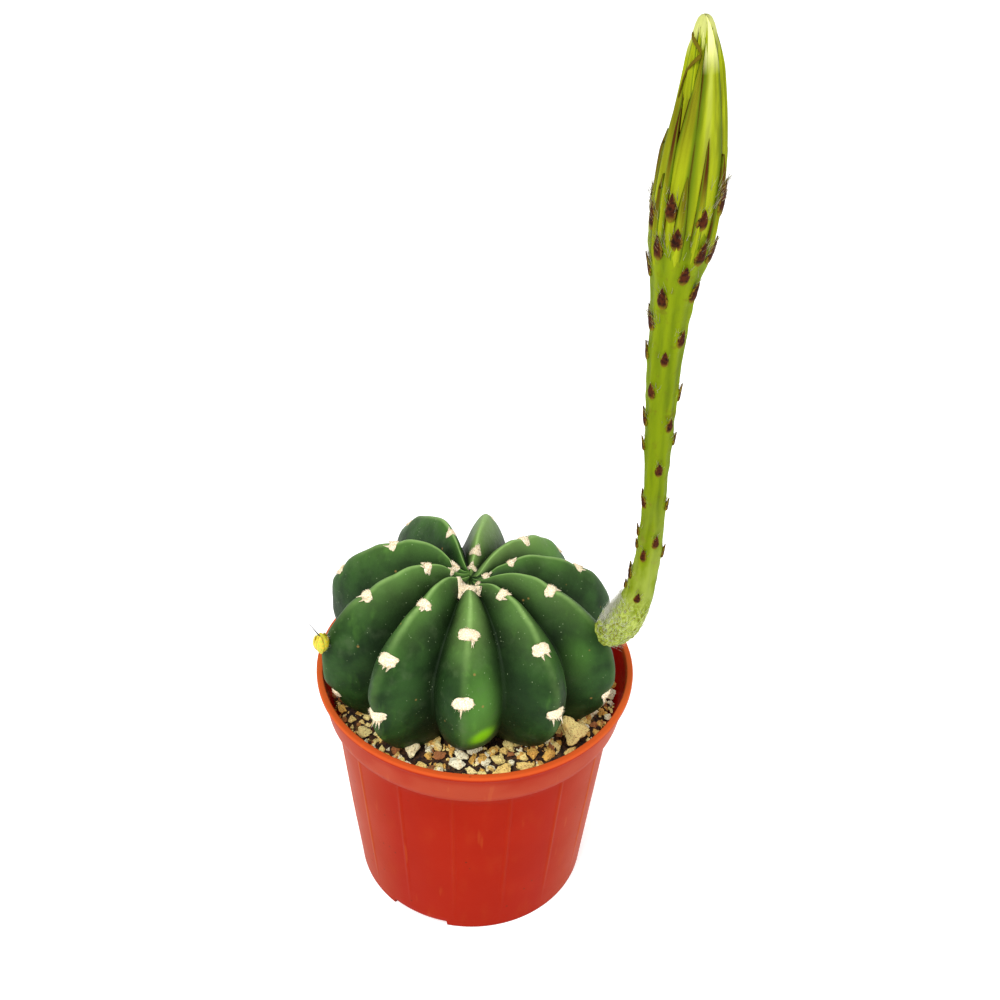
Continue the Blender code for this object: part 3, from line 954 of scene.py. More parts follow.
@dataclass
class Globe:
    """The ribbed globe, with its felt areoles and their tufts."""

    centre: Vector = field(default_factory=lambda: Vector((0.0007, -0.002, 0.089)))
    lean: float = math.radians(-2)
    foot: float = 0.0658
    crest_size: tuple[float, float, float] = (0.0407, 0.026, 0.030)
    valley_size: tuple[float, float, float] = (0.0295, 0.0185, 0.027)
    powers: tuple[float, float] = (1.9, 2.3)
    crown_sink: float = 0.0075
    crown_spread: float = 0.0087
    crown_shift: Vector = field(default_factory=lambda: Vector((-0.0024, -0.002, 0)))
    shift_spread: float = 0.014
    crease_nose: float = 0.28
    stride: float = math.radians(0.5)
    lowest: float = math.radians(146)
    neck: tuple[float, float] = (0.011, 0.018)
    neck_from: float = 0.93
    rib_steps: int = 28
    rows: int = 190
    small_areole: tuple[float, float] = (0.022, 0.8)
    areole_gap: float = 0.0054
    lowest_areole: float = 0.0735
    buried: Vector = field(default_factory=lambda: Vector((-0.0027, -0.0322, 0.0736)))
    flower_rib: int = 6
    flower_reach: float = 0.0350
    flower_slope: float = 0.62
    young_rib: int = 2
    young_height: float = 0.0960
    dip: tuple[float, float] = (0.0005, 0.0028)
    welt: tuple[float, float, float] = (0.00035, 0.0055, 0.003)
    swells: tuple[tuple[float, float], ...] = ((0.00045, 0.013), (0.00012, 0.004))
    foot_fade: float = 0.004
    ribs: tuple[Rib, ...] = (
        Rib(-148.0, 1.09, 0.0139, 0.0290, 0.7, 0.0, 0.6),
        Rib(-109.0, 1.09, 0.0250, 0.0210, 0.7),
        Rib(-72.3, 1.075, 0.0126, 0.0185, 0.78, 0.35),
        Rib(-39.5, 1.03, 0.0208, 0.0175, 0.95, 0.25),
        Rib(-5.5, 0.90, 0.0235, 0.0180, 1.0, 0.8),
        Rib(32.5, 0.95, 0.0143, 0.0188, 0.95, 0.3),
        Rib(65.0, 0.99, 0.0236, 0.0195, 0.75, 0.4),
        Rib(107.0, 0.95, 0.0115, 0.0220, 0.7),
        Rib(140.0, 0.94, 0.0230, 0.0200, 0.7, 0.9, 0.6),
        Rib(176.3, 1.03, 0.0080, 0.0290, 0.75, 1.35, 0.0),
    )
    # The youngest areoles, crowded at the crown: rib, way down its crest, size.
    crown: tuple[tuple[int, float, float], ...] = (
        (4, 0.0062, 1.2), (7, 0.0040, 0.55), (1, 0.0036, 0.6),
        (9, 0.0030, 0.5), (5, 0.0034, 0.35), (2, 0.0050, 0.4),
    )
    # The lime patch is a blemish of the skin. The lit and sheen patches are painted highlights, and the
    # shade patches are painted shade.
    patches: tuple[Patch, ...] = (
        Patch("lime", 4, 0.22, 108, (0.0031, 0.006, 0.0034)),
        Patch("lit_patch", 4, 0.22, 96, (0.0058, 0.009, 0.0180)),
        Patch("shade_patch", 3, 0.76, 96, (0.0050, 0.012, 0.0150)),
        Patch("shade_patch", 4, 0.68, 88, (0.0050, 0.010, 0.0130)),
        Patch("sheen", 5, 0.62, 76, (0.0050, 0.008, 0.0070)),
        Patch("sheen", 7, 0.8, 48, (0.0080, 0.008, 0.0090), 1.7),
    )

    def outline(self, angle: float, size: tuple[float, float, float]) -> tuple[float, float]:
        """A rounded outline's reach and height at an angle from the top.

        Args:
            angle: The angle.
            size: The outline's radius, rise and drop.

        Returns:
            The reach from the axis, and the height.
        """
        radius, rise, drop = size
        upper = math.cos(angle) > 0
        power = 2 / self.powers[0 if upper else 1]
        reach = radius * math.copysign(abs(math.sin(angle)) ** power, math.sin(angle))
        height = math.copysign(abs(math.cos(angle)) ** power, math.cos(angle))
        return reach, height * (rise if upper else drop)

    def skin(self, rib: int, share: float, angle: float) -> Vector:
        """A point on the skin.

        Args:
            rib: The rib that it is measured from.
            share: Its share of the way to the next rib's crest.
            angle: Its angle from the globe's top.

        Returns:
            The point, in metres.
        """
        here, there = self.ribs[rib], self.ribs[(rib + 1) % len(self.ribs)]
        turn = (there.azimuth - here.azimuth) % 360
        deep = 1 - abs(1 - 2 * share)
        upper = eased(clamped((math.radians(100) - angle) / math.radians(55)))
        nose = self.crease_nose
        tent = (math.hypot(deep, nose) - nose) / (math.hypot(1, nose) - nose)
        sharp = (here if share < 0.5 else there).edge
        fold = deep**1.4 * sharp + eased(deep) * (1 - sharp)
        fold += (tent - fold) * (0.15 + 0.75 * upper) * sharp
        grown = here.size + (there.size - here.size) * share
        crest_reach, crest_height = self.outline(angle, self.crest_size)
        crest_height -= self.crown_sink * bell(crest_reach, self.crown_spread)
        valley_reach, valley_height = self.outline(angle, self.valley_size)
        reach = crest_reach * grown * (1 - fold) + valley_reach * fold
        height = crest_height * grown * (1 - fold) + valley_height * fold
        shift = self.crown_shift * (bell(reach, self.shift_spread) if height > 0 else 0)
        point = radial(math.radians(here.azimuth + turn * share)) * reach + UP * height + shift
        return self.centre + Matrix.Rotation(self.lean, 3, "X") @ point

    def angle_at(self, rib: int, way: float) -> float:
        """The angle from the top of a point a way down a rib's crest.

        Args:
            rib: The rib.
            way: The way, in metres.

        Returns:
            The angle.
        """
        angle = self.stride
        place = self.skin(rib, 0, angle)
        while way > 0:
            angle += self.stride
            following = self.skin(rib, 0, angle)
            way -= (following - place).length
            place = following
        return angle

    def seat(self, rib: int, angle: float, size: float) -> Seat:
        """The seat of an areole on a rib's crest.

        Args:
            rib: The rib.
            angle: The areole's angle from the top.
            size: Its size.

        Returns:
            The seat.
        """
        place = self.skin(rib, 0, angle)
        down = (place - self.skin(rib, 0, angle - self.stride)).normalized()
        side = radial(math.radians(self.ribs[rib].azimuth)).cross(UP)
        normal = down.cross(side)
        if normal.dot(place - self.centre) < 0:
            normal = -normal
        return Seat(facing(place, normal, down), size)

    def areoles(self) -> list[Seat]:
        """The seats of all areoles, apart from those that carry buds or lie in the mix.

        Returns:
            The seats, those at the crown last.
        """
        seats = []
        taken = (self.flower_seat()[0], self.young_seat(), self.buried)
        small_way, small_share = self.small_areole
        for index, rib in enumerate(self.ribs):
            way = rib.first
            size = rib.pad * (small_share if way < small_way else 1)
            seat = self.seat(index, self.angle_at(index, way), size)
            while seat.matrix.translation.z > self.lowest_areole:
                if min((seat.matrix.translation - spot).length for spot in taken) > self.areole_gap:
                    seats.append(seat)
                way += rib.pitch
                seat = self.seat(index, self.angle_at(index, way), rib.pad)
        seats.extend(self.seat(rib, self.angle_at(rib, way), size) for rib, way, size in self.crown)
        return seats

    def flower_seat(self) -> tuple[Vector, Vector]:
        """Where the flower leaves the globe, and the way out of it.

        Returns:
            The point, and the way as a unit vector.
        """
        angle = math.radians(20)
        while (self.skin(self.flower_rib, 0, angle) - self.centre).xy.length < self.flower_reach:
            angle += self.stride
        out = radial(math.radians(self.ribs[self.flower_rib].azimuth)) + UP * self.flower_slope
        return self.skin(self.flower_rib, 0, angle), out.normalized()

    def young_seat(self) -> Vector:
        """Where the young bud leaves the globe.

        Returns:
            The point.
        """
        angle = math.radians(45)
        while self.skin(self.young_rib, 0, angle).z > self.young_height:
            angle += self.stride
        return self.skin(self.young_rib, 0, angle)

    def body(self, seats: Sequence[Seat]) -> bmesh.types.BMesh:
        """The skin down to the mix, and the root neck below it.

        Args:
            seats: The areoles, each of which lies in a shallow dip.

        Returns:
            The closed shape, with the marks of its material.
        """
        count = len(self.ribs)
        radius, depth = self.neck
        skin_share = self.neck_from
        spots = [seat.matrix.translation for seat in seats if seat.size > 0.5]

        def split(across: float) -> tuple[int, float]:
            """The rib, and the share of the way to the next."""
            whole = across * count
            return int(whole) % count, whole - int(whole)

        def raw(across: float, along: float) -> Vector:
            """The skin, or the neck past its foot.

            Args:
                across: The share round.
                along: The share along.

            Returns:
                The point.
            """
            rib, share = split(across % 1)
            point = self.skin(rib, share, self.lowest * min(along / skin_share, 1) ** 1.05)
            point.z = max(point.z, self.foot)
            if along > skin_share:
                fall = (along - skin_share) / (1 - skin_share)
                out = (point.xy - self.centre.xy).normalized()
                reach = radius * (1 if fall < 0.9 else 0.6)
                level = self.foot - depth * max(0, fall - 0.25) / 0.75
                point = Vector((*(self.centre.xy + out * reach), level))
            return point

        def place(across: float, along: float) -> Vector:
            """The skin with its dips and unevenness.

            Args:
                across: The share round.
                along: The share along.

            Returns:
                The point.
            """
            point = raw(across, along)
            if along > skin_share or along == 0:
                return point
            near = min((point - spot).length for spot in spots)
            height, middle, width = self.welt
            rise = height * bell(near - middle, width) - self.dip[0] * bell(near, self.dip[1])
            rise += rugged(point, *self.swells)
            fade = clamped((point.z - self.foot) / self.foot_fade)
            return point + (point - self.centre).normalized() * rise * fade

        def crease(across: float, along: float) -> float:
            """0 on a crest and 1 in a crease."""
            return 1 - abs(1 - 2 * split(across % 1)[1])

        def pale(across: float, along: float) -> float:
            """How much painted highlight pales the rib towards the crown.

            Args:
                across: The share round.
                along: The share along.

            Returns:
                The mark.
            """
            rib, share = split(across % 1)
            tone = self.ribs[rib if share < 0.5 else (rib + 1) % count].tone
            return tone * clamped((0.46 - along / skin_share) / 0.2) * (1 - crease(across, along))

        def patched(name: str) -> Mark:
            """The mark that is high round the patches of this name.

            Args:
                name: The patches' name.

            Returns:
                The mark as a function.
            """
            found = [patch for patch in self.patches if patch.mark == name]
            middles = [self.skin(patch.rib, patch.share, math.radians(patch.angle)) for patch in found]

            def strength(across: float, along: float) -> float:
                """The sum of the patches at a point.

                Args:
                    across: The share round.
                    along: The share along.

                Returns:
                    The mark.
                """
                point = raw(across, along)
                total = 0.0
                for patch, middle in zip(found, middles):
                    reach = sum((gap / size) ** 2 for gap, size in zip(point - middle, patch.size))
                    total += patch.strength * bell(reach, 1)
                return total

            return strength

        marks: dict[str, Mark] = {
            "crease": crease,
            "pale": pale,
            "fall": lambda across, along: min(along / skin_share, 1),
            **{name: patched(name) for name in ("lime", "lit_patch", "shade_patch", "sheen")},
        }
        return laid(count * self.rib_steps, self.rows, place, marks)

    def build(self) -> None:
        """Makes the skin, the felt pads and their tufts."""
        seats = self.areoles()
        shape = self.body(seats)
        tree = BVHTree.FromBMesh(shape)
        skin = piece("globe_skin", shape, CactusSkin().material())
        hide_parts("cactus_body")
        felt = Felt().material()
        wool = AreoleWool(tree, seats)
        piece("areole_pads", wool.pads(), felt)
        piece("areole_tufts", wool.tufts(), felt)


@dataclass
class AreoleWool:
    """Felt pads draped over the crests, with short fibres and a few longer tails below."""

    skin: BVHTree
    seats: Sequence[Seat]
    half_width: float = 0.0027
    half_height: float = 0.0017
    thickness: float = 0.0010
    fibres: int = 150
    fibre_lengths: tuple[float, float] = (0.0004, 0.0009)
    fibre_radius: float = 0.00007
    tail_lengths: tuple[float, float] = (0.0016, 0.0030)
    tail_radius: float = 0.00026
    tail_threads: int = 9
    probe: tuple[float, float] = (0.004, 0.012)

    def on_skin(self, seat: Seat, x: float, y: float) -> Vector:
        """Finds the skin under a seat.

        Args:
            seat: The areole's seat.
            x: Across, in shares of a pad's half width.
            y: Down, in shares of its half height.

        Returns:
            The point.
        """
        x *= self.half_width * seat.size
        y *= self.half_height * seat.size
        above, reach = self.probe
        down = -(seat.matrix.to_3x3() @ UP)
        point = self.skin.ray_cast(seat.matrix @ Vector((x, y, above)), down, reach)[0]
        return seat.matrix @ Vector((x, y, 0)) if point is None else point

    def pads(self) -> Heap:
        """All pads together.

        Returns:
            The heap of pads.
        """
        heap = Heap()
        draw = random.Random(3)
        for seat in self.seats:
            shape = bmesh.new()
            bmesh.ops.create_icosphere(shape, subdivisions=3 if seat.size > 0.5 else 2, radius=1)
            up = seat.matrix.to_3x3() @ UP
            offset = Vector((draw.random(), draw.random(), draw.random())) * 9
            for vert in shape.verts:
                x, y, z = vert.co
                swell = 1 + 0.28 * noise.noise(vert.co * 1.7 + offset)
                swell += 0.14 * noise.noise(vert.co * 4 + offset)
                square = max(abs(x), abs(y)) / max(math.hypot(x, y), 0.001)
                swell *= 1 + 0.55 * (1 - square)
                fuzz = 0.00018 * noise.noise(vert.co * 5 + offset)
                rise = (z * 0.9 - 0.05) * self.thickness * seat.size + fuzz
                vert.co = self.on_skin(seat, x * swell, y * swell) + up * rise
            heap.add(*arrays(shape), draw.uniform(0, 0.6))
        return heap

    def tufts(self) -> Strands:
        """The short fibres and the longer tails together.

        Returns:
            The strands.
        """
        strands = Strands(segments=2, seed=5)
        for seat in self.seats:
            for _ in range(int(self.fibres * seat.size)):
                self.fibre(strands, seat)
            for _ in range(strands.draw.choice((1, 2, 2, 3))):
                self.tail(strands, seat)
        return strands

    def fibre(self, strands: Strands, seat: Seat) -> None:
        """Adds one short fibre that leans outwards and down the crest.

        Args:
            strands: What it joins.
            seat: Its areole's seat.
        """
        draw = strands.draw
        turn = seat.matrix.to_3x3()
        around = draw.uniform(0, math.tau)
        reach = math.sqrt(draw.random())
        x, y = math.cos(around) * reach, math.sin(around) * reach
        lean_y = y * self.half_height / self.half_width * seat.size
        point = self.on_skin(seat, x, y)
        way = turn @ Vector(
            (x * seat.size * 0.9 + draw.gauss(0, 0.3), lean_y + 0.35 + draw.gauss(0, 0.3), 0.75)
        )
        root = point + turn @ UP * self.thickness * 0.35 * (1 - reach**3)
        bend = turn @ Vector((draw.gauss(0, 0.0003), 0.0004, -0.0003)) * seat.size
        length = draw.uniform(*self.fibre_lengths) * seat.size
        strands.grow(root, way, bend, length, self.fibre_radius, draw.random())

    def tail(self, strands: Strands, seat: Seat) -> None:
        """Adds one longer tail of matted threads below a pad.

        Args:
            strands: What it joins.
            seat: Its areole's seat.
        """
        draw = strands.draw
        turn = seat.matrix.to_3x3()
        x = draw.uniform(-0.6, 0.6)
        point = self.on_skin(seat, x, 0.7)
        way = turn @ Vector((x * seat.size * 0.3 + draw.gauss(0, 0.1), 1, 0.5))
        bend = turn @ Vector((draw.gauss(0, 0.0002), 0, -0.0006))
        length = draw.uniform(*self.tail_lengths) * seat.size
        for thread in range(self.tail_threads):
            spread = jitter(draw, 0.00018)
            share = 1 - 0.07 * thread
            strands.grow(point + spread, way - spread * 500, bend, length * share, self.tail_radius, 0.1)


# ------------------------------------------------------------------ flower


@dataclass(frozen=True)
class ScaleSpot:
    """A scale on the flower: its height, its turn round the flower in degrees, and its length."""

    height: float
    turn: float
    length: float


@dataclass(frozen=True)
class Tepal:
    """A tepal of the bud.

    Its turn, half width and skew are in degrees, its foot and tip in shares of the flower's length, its lift
    off the bud in metres, and brown and pale say how far it has these colours.
    """

    turn: float
    half_width: float
    foot: float
    tip: float
    lift: float
    brown: float = 0.0
    pale: float = 0.0
    skew: float = 0.0


@dataclass
class Flower:
    """The long flower: a woolly foot, a scaly tube and a closed bud."""

    globe: Globe
    top: float = 0.2580
    tube_top: float = 0.2110
    line_x: float = 0.0419
    line_y: float = -0.0185
    sway: float = 0.0008
    bend_share: float = 0.26
    span: float = 0.168
    hair_radius: float = 0.000055
    longest_hair: float = 0.0035
    wool_strands: int = 1500
    wool_radius: float = 0.00003
    tube_ridge: float = 0.00035
    tube_mound: float = 0.0005
    edge_size: float = 0.00050
    blade_rib: float = 0.0003
    blade_crown: float = 0.0003
    blade_sink: float = 0.0009
    blade_tuck: float = 0.0012
    blade_thickness: float = 0.0006
    scale_thickness: float = 0.00028
    girths: tuple[tuple[float, float], ...] = (
        (0.000, 0.0034), (0.030, 0.0046), (0.090, 0.0049), (0.150, 0.0042), (0.200, 0.0036),
        (0.270, 0.0031), (0.357, 0.0029), (0.428, 0.0032), (0.500, 0.0036), (0.574, 0.0040),
        (0.620, 0.0043), (0.680, 0.0054), (0.731, 0.0070), (0.778, 0.0074), (0.831, 0.0071),
        (0.877, 0.0062), (0.927, 0.0049), (0.959, 0.0040), (0.982, 0.0030), (0.995, 0.0019),
        (1.000, 0.0008),
    )
    scales: tuple[ScaleSpot, ...] = (
        ScaleSpot(0.2215, -124, 0.0048), ScaleSpot(0.2180, -162, 0.0046), ScaleSpot(0.2196, -72, 0.0036),
        ScaleSpot(0.2235, -36, 0.0060), ScaleSpot(0.2150, -108, 0.0040), ScaleSpot(0.2120, -140, 0.0044),
        ScaleSpot(0.2118, -62, 0.0044), ScaleSpot(0.2120, -35, 0.0050), ScaleSpot(0.2064, -178, 0.0042),
        ScaleSpot(0.2067, -84, 0.0036), ScaleSpot(0.2020, -46, 0.0040), ScaleSpot(0.2004, -124, 0.0040),
        ScaleSpot(0.1938, -160, 0.0036), ScaleSpot(0.1906, -56, 0.0030), ScaleSpot(0.1860, -178, 0.0030),
        ScaleSpot(0.1858, -100, 0.0026), ScaleSpot(0.1770, -136, 0.0028), ScaleSpot(0.1755, -12, 0.0030),
        ScaleSpot(0.1688, -164, 0.0026), ScaleSpot(0.1681, -60, 0.0026), ScaleSpot(0.1630, -12, 0.0024),
        ScaleSpot(0.1616, -178, 0.0026), ScaleSpot(0.1559, -88, 0.0026), ScaleSpot(0.1457, -148, 0.0024),
        ScaleSpot(0.1447, -20, 0.0024), ScaleSpot(0.1364, -178, 0.0024), ScaleSpot(0.1347, -76, 0.0026),
        ScaleSpot(0.1325, -170, 0.0020), ScaleSpot(0.1304, -120, 0.0022), ScaleSpot(0.1307, -16, 0.0022),
        ScaleSpot(0.1228, -168, 0.0022), ScaleSpot(0.1189, -178, 0.0020), ScaleSpot(0.1175, -104, 0.0024),
    )
    tepals: tuple[Tepal, ...] = (
        Tepal(-72, 36, 0.70, 0.999, 0.0003, pale=1.0),
        Tepal(-124, 25, 0.695, 0.966, 0.0004, brown=0.5, skew=22),
        Tepal(-138, 20, 0.90, 0.992, 0.0003, pale=0.5),
        Tepal(-165, 26, 0.705, 0.948, 0.0003, brown=0.5, skew=12),
        Tepal(-140, 22, 0.80, 0.996, -0.0002),
        Tepal(-32, 22, 0.80, 0.993, -0.0002, pale=0.3),
        Tepal(-20, 24, 0.71, 0.980, 0.0000),
        Tepal(-141, 10, 0.705, 0.905, 0.0008, brown=1.0),
        Tepal(-77, 9, 0.70, 0.872, 0.0008, brown=1.0),
        Tepal(-178, 13, 0.71, 0.855, -0.0001, brown=0.9),
        Tepal(-105, 20, 0.86, 0.991, -0.0002, pale=0.9),
        Tepal(-176, 22, 0.82, 0.986, -0.0003, pale=0.4),
        Tepal(95, 40, 0.80, 0.996, -0.0001, pale=0.6),
        Tepal(-58, 16, 0.90, 0.9985, -0.0001, pale=0.5),
        Tepal(-122, 16, 0.90, 0.9975, -0.0001, pale=0.4),
        Tepal(-88, 14, 0.92, 1.0, -0.0001, pale=0.75),
        Tepal(-106, 12, 0.695, 0.826, 0.0008, brown=0.6),
        Tepal(-40, 12, 0.70, 0.850, 0.0008, brown=0.9),
        Tepal(-152, 11, 0.69, 0.822, 0.0009, brown=0.8),
    )
    rear_tepals: int = 7
    # The rolled brown edge where one tepal folds over the next: shares and turns in degrees.
    fold: tuple[tuple[float, float], ...] = (
        (0.9830, -150), (0.9789, -144), (0.9709, -120), (0.9619, -101), (0.9559, -120), (0.9448, -142),
        (0.9288, -151), (0.9100, -155),
    )
    seat: tuple[Vector, Vector] = field(init=False)

    def __post_init__(self) -> None:
        """Finds where the flower leaves the globe."""
        self.seat = self.globe.flower_seat()

    def line(self, share: float) -> Vector:
        """The middle of the flower: out of its areole, round a bend, then up.

        Args:
            share: The share of the flower's length.

        Returns:
            The point.
        """
        seat, out = self.seat
        start = seat + out * 0.0006
        corner = Vector((self.line_x, self.line_y, start.z + 0.0105))
        knee = Vector((self.line_x + self.sway, self.line_y, start.z + 0.030))
        if share < self.bend_share:
            guides = [start, start + out * 0.0075, corner, knee]
            while len(guides) > 1:
                guides = [a.lerp(b, share / self.bend_share) for a, b in zip(guides, guides[1:])]
            return guides[0]
        rise = (share - self.bend_share) / (1 - self.bend_share)
        x = self.line_x + self.sway * math.cos(math.tau * rise * 1.12) - 0.0014 * rise**8
        return Vector((x, self.line_y, knee.z + (self.top - knee.z) * rise))

    def share_at(self, height: float) -> float:
        """The share of the flower's line that reaches a height.

        Args:
            height: The height.

        Returns:
            The share.
        """
        low, high = 0.0, 1.0
        for _ in range(20):
            half = (low + high) / 2
            if self.line(half).z < height:
                low = half
            else:
                high = half
        return low

    def girth(self, share: float) -> float:
        """The flower's radius, on a smooth curve through its girths.

        Args:
            share: The share of the flower's length.

        Returns:
            The radius.
        """
        for index in range(len(self.girths) - 1):
            (low, small), (high, large) = self.girths[index], self.girths[index + 1]
            if share <= high:
                before = self.girths[max(index - 1, 0)]
                after = self.girths[min(index + 2, len(self.girths) - 1)]
                span = high - low
                first = (large - before[1]) / (high - before[0]) * span
                last = (after[1] - small) / (after[0] - low) * span
                s = (share - low) / span
                return (
                    (2 * s**3 - 3 * s**2 + 1) * small
                    + (s**3 - 2 * s**2 + s) * first
                    + (3 * s**2 - 2 * s**3) * large
                    + (s**3 - s**2) * last
                )
        return self.girths[-1][1]

    def frame(self, share: float) -> Matrix:
        """A seat on the flower's line, with its Z along it and its Y to the back."""
        ahead = self.line(min(share + 0.004, 1)) - self.line(max(share - 0.004, 0))
        return facing(self.line(share), ahead, Vector((0, 1, 0)))

    def spot(self, share: float, turn: float, proud: float) -> Vector:
        """A point proud of the flower's surface."""
        reach = self.girth(share) + proud
        return self.frame(share) @ Vector((math.cos(turn) * reach, math.sin(turn) * reach, 0))

    def tube(self) -> bmesh.types.BMesh:
        """The tube, with ridges that run up into its scales.

        Returns:
            The closed shape, with the marks of its material.
        """
        top = self.share_at(self.tube_top + 0.011)
        seats = [
            (self.share_at(spot.height), math.radians(spot.turn), spot.length) for spot in self.all_scales()
        ]

        def mound(share: float, turn: float) -> float:
            """The raised leaf bases below the scales.

            Args:
                share: The share of the flower's length.
                turn: The turn.

            Returns:
                The mark.
            """
            total = 0.0
            for seat, middle, length in seats:
                rise = (share - seat) * self.span * MILLIMETRES
                if abs(rise) < 6:
                    swing = math.remainder(turn - middle, math.tau) * self.girth(seat) * MILLIMETRES
                    low = rise / (0.9 if rise > 0 else 2.4)
                    total += math.exp(-(low * low) - (swing / 1.1) ** 2) * min(1.0, length * 260)
            return min(total, 1.2)

        def ridge(across: float, along: float) -> float:
            """How near a point is to a ridge's top."""
            wave = 0.5 + 0.5 * math.cos(math.tau * (across * 9 + along * 0.8))
            return wave * (0.3 + 0.7 * max(0, along - 0.6) / 0.4)

        def place(across: float, along: float) -> Vector:
            """The tube's surface.

            Args:
                across: The share round.
                along: The share along.

            Returns:
                The point.
            """
            share = top * along
            turn = math.tau * across
            point = self.spot(share, turn, 0)
            rough = self.tube_ridge * (ridge(across, along) - 0.5) + 0.00020 * rumple(point, 0.003)
            rough += 0.00015 * rumple(Vector((point.x, point.y, point.z * 0.3)), 0.0012)
            rough += self.tube_mound * mound(share, turn)
            rough += 0.0008 * max(0, 0.17 - share) / 0.17 * rumple(point, 0.0011)
            return self.spot(share, turn, rough - 0.0014 * max(0, along - 0.93) / 0.07)

        marks: dict[str, Mark] = {
            "ridge": ridge,
            "base": lambda across, along: mound(top * along, math.tau * across),
            "foot": lambda across, along: clamped((0.19 - top * along) / 0.05),
            "low": lambda across, along: clamped((0.36 - top * along) / 0.18),
        }
        return laid(72, 260, place, marks)

    def blade(self, tepal: Tepal) -> bmesh.types.BMesh:
        """One tepal: a closed pointed blade that hugs the bud, with a raised rib along it.

        Args:
            tepal: Where it is and how it looks.

        Returns:
            The closed shape, with the marks of its material.
        """
        half = math.radians(tepal.half_width)
        middle = math.radians(tepal.turn)

        def lane(across: float) -> tuple[float, bool]:
            """The place from edge to edge, and whether it is on the outer face."""
            outer = across < 0.5
            return (across * 4 - 1 if outer else 3 - across * 4), outer

        def place(across: float, along: float) -> Vector:
            """The blade's surface.

            Args:
                across: The share round.
                along: The share along.

            Returns:
                The point.
            """
            side, outer = lane(across)
            share = tepal.foot + (tepal.tip - tepal.foot) * along
            taper = (1 - along ** (2.8 + 4 * tepal.pale)) ** 0.8
            turn = middle + half * side * taper + math.radians(tepal.skew) * along**3
            rib = self.blade_rib * bell(side, 0.25) + 0.00008 * math.cos(side * 9)
            proud = tepal.lift + (self.blade_crown * (1 - side**2) + rib) * min(1, (1 - along) * 6 + 0.2)
            proud += 0.00012 * rumple(Vector((side * 2, along * 3, tepal.turn)), 1) - self.blade_sink
            proud -= self.blade_tuck * (1 - min(1, along / 0.28)) ** 2
            return self.spot(share, turn, proud if outer else proud - self.blade_thickness)

        def tip(across: float, along: float) -> float:
            """How pale the blade is: its tip, and on a wide pale one a painted highlight along its keel."""
            keel = 0.15 * bell(lane(across)[0] + 0.22, 0.16) * clamped((along - 0.35) * 2.5)
            return tepal.pale * max(keel * (tepal.half_width > 30), clamped((along - 0.8) / 0.13))

        marks: dict[str, Mark] = {
            "edge": lambda across, along: abs(lane(across)[0]),
            "along": lengthwise,
            "outer": steady(tepal.brown),
            "tip": tip,
        }
        return laid(28, 40, place, marks)

    def rolled_edge(self) -> bmesh.types.BMesh:
        """The thin rolled edge along the fold.

        Returns:
            The closed shape, with the marks of its material.
        """
        ways = np.linspace(0, 1, len(self.fold))
        shares, turns = np.array(self.fold).T
        window = np.linspace(-0.07, 0.07, 9)

        def place(across: float, along: float) -> Vector:
            """The edge's surface, on the fold's line with its corners rounded.

            Args:
                across: The share round.
                along: The share along.

            Returns:
                The point.
            """
            share = float(np.interp(along + window, ways, shares).mean())
            turn = math.radians(float(np.interp(along + window, ways, turns).mean()))
            swing = math.tau * across
            size = self.edge_size * math.sin(math.pi * (0.06 + 0.88 * along)) ** 0.4
            return self.spot(share + size * math.cos(swing) / 0.16, turn, size * 0.8 * math.sin(swing))

        marks = {"edge": steady(0.0), "along": steady(1.0), "outer": steady(0.8), "tip": steady(0.0)}
        return laid(8, 70, place, marks)

    def bud(self) -> bmesh.types.BMesh:
        """The core, the rolled edge and all tepals.

        Returns:
            The closed shape, with the marks of its material.
        """
        foot = self.share_at(self.tube_top)

        def place(across: float, along: float) -> Vector:
            """The core's surface, inside the tepals.

            Args:
                across: The share round.
                along: The share along.

            Returns:
                The point.
            """
            turn = math.tau * across
            ragged = abs(math.sin(turn * 4 + 0.5) + 0.6 * math.sin(turn * 9)) * max(0, along - 0.9) * 10
            share = foot + (0.999 - 0.007 * ragged - foot) * along
            return self.spot(share, turn, -min(0.0014, self.girth(share) * 0.25))

        marks = {"edge": steady(0.5), "along": steady(0.5), "outer": steady(0.0)}
        marks["tip"] = lambda across, along: 0.42 * clamped((along - 0.85) / 0.1)
        blades = [laid(40, 40, place, marks), self.rolled_edge()]
        draw = random.Random(11)
        rear = [
            Tepal(
                12 + 156 / (self.rear_tepals - 1) * index,
                22 if index % 2 else 13,
                0.70,
                0.97 if index % 2 else draw.uniform(0.84, 0.9),
                0.0002 if index % 2 else 0.0004,
                brown=0.2 if index % 2 else 0.8,
            )
            for index in range(self.rear_tepals)
        ]
        blades.extend(self.blade(tepal) for tepal in (*self.tepals, *rear))
        return merged(blades)

    def all_scales(self) -> list[ScaleSpot]:
        """The scales in front, and as many behind in the same rows.

        Returns:
            Their places and lengths.
        """
        draw = random.Random(23)
        rear = [
            ScaleSpot(spot.height + draw.uniform(-0.002, 0.002), -spot.turn * 0.9 + 8, spot.length)
            for spot in self.scales
            if -170 < spot.turn < -30
        ]
        return [*self.scales, *rear]

    def scale(self, spot: ScaleSpot) -> bmesh.types.BMesh:
        """One scale: a small pointed leaf that lies up along the flower.

        Args:
            spot: Its place and length.

        Returns:
            The closed shape, with the marks of its material.
        """
        share = self.share_at(spot.height)
        turn = math.radians(spot.turn)
        reach = spot.length * (1.35 if spot.length > 0.0035 else 1.6) / (self.top - 0.09)
        width = min(0.34 * spot.length, 0.0013)

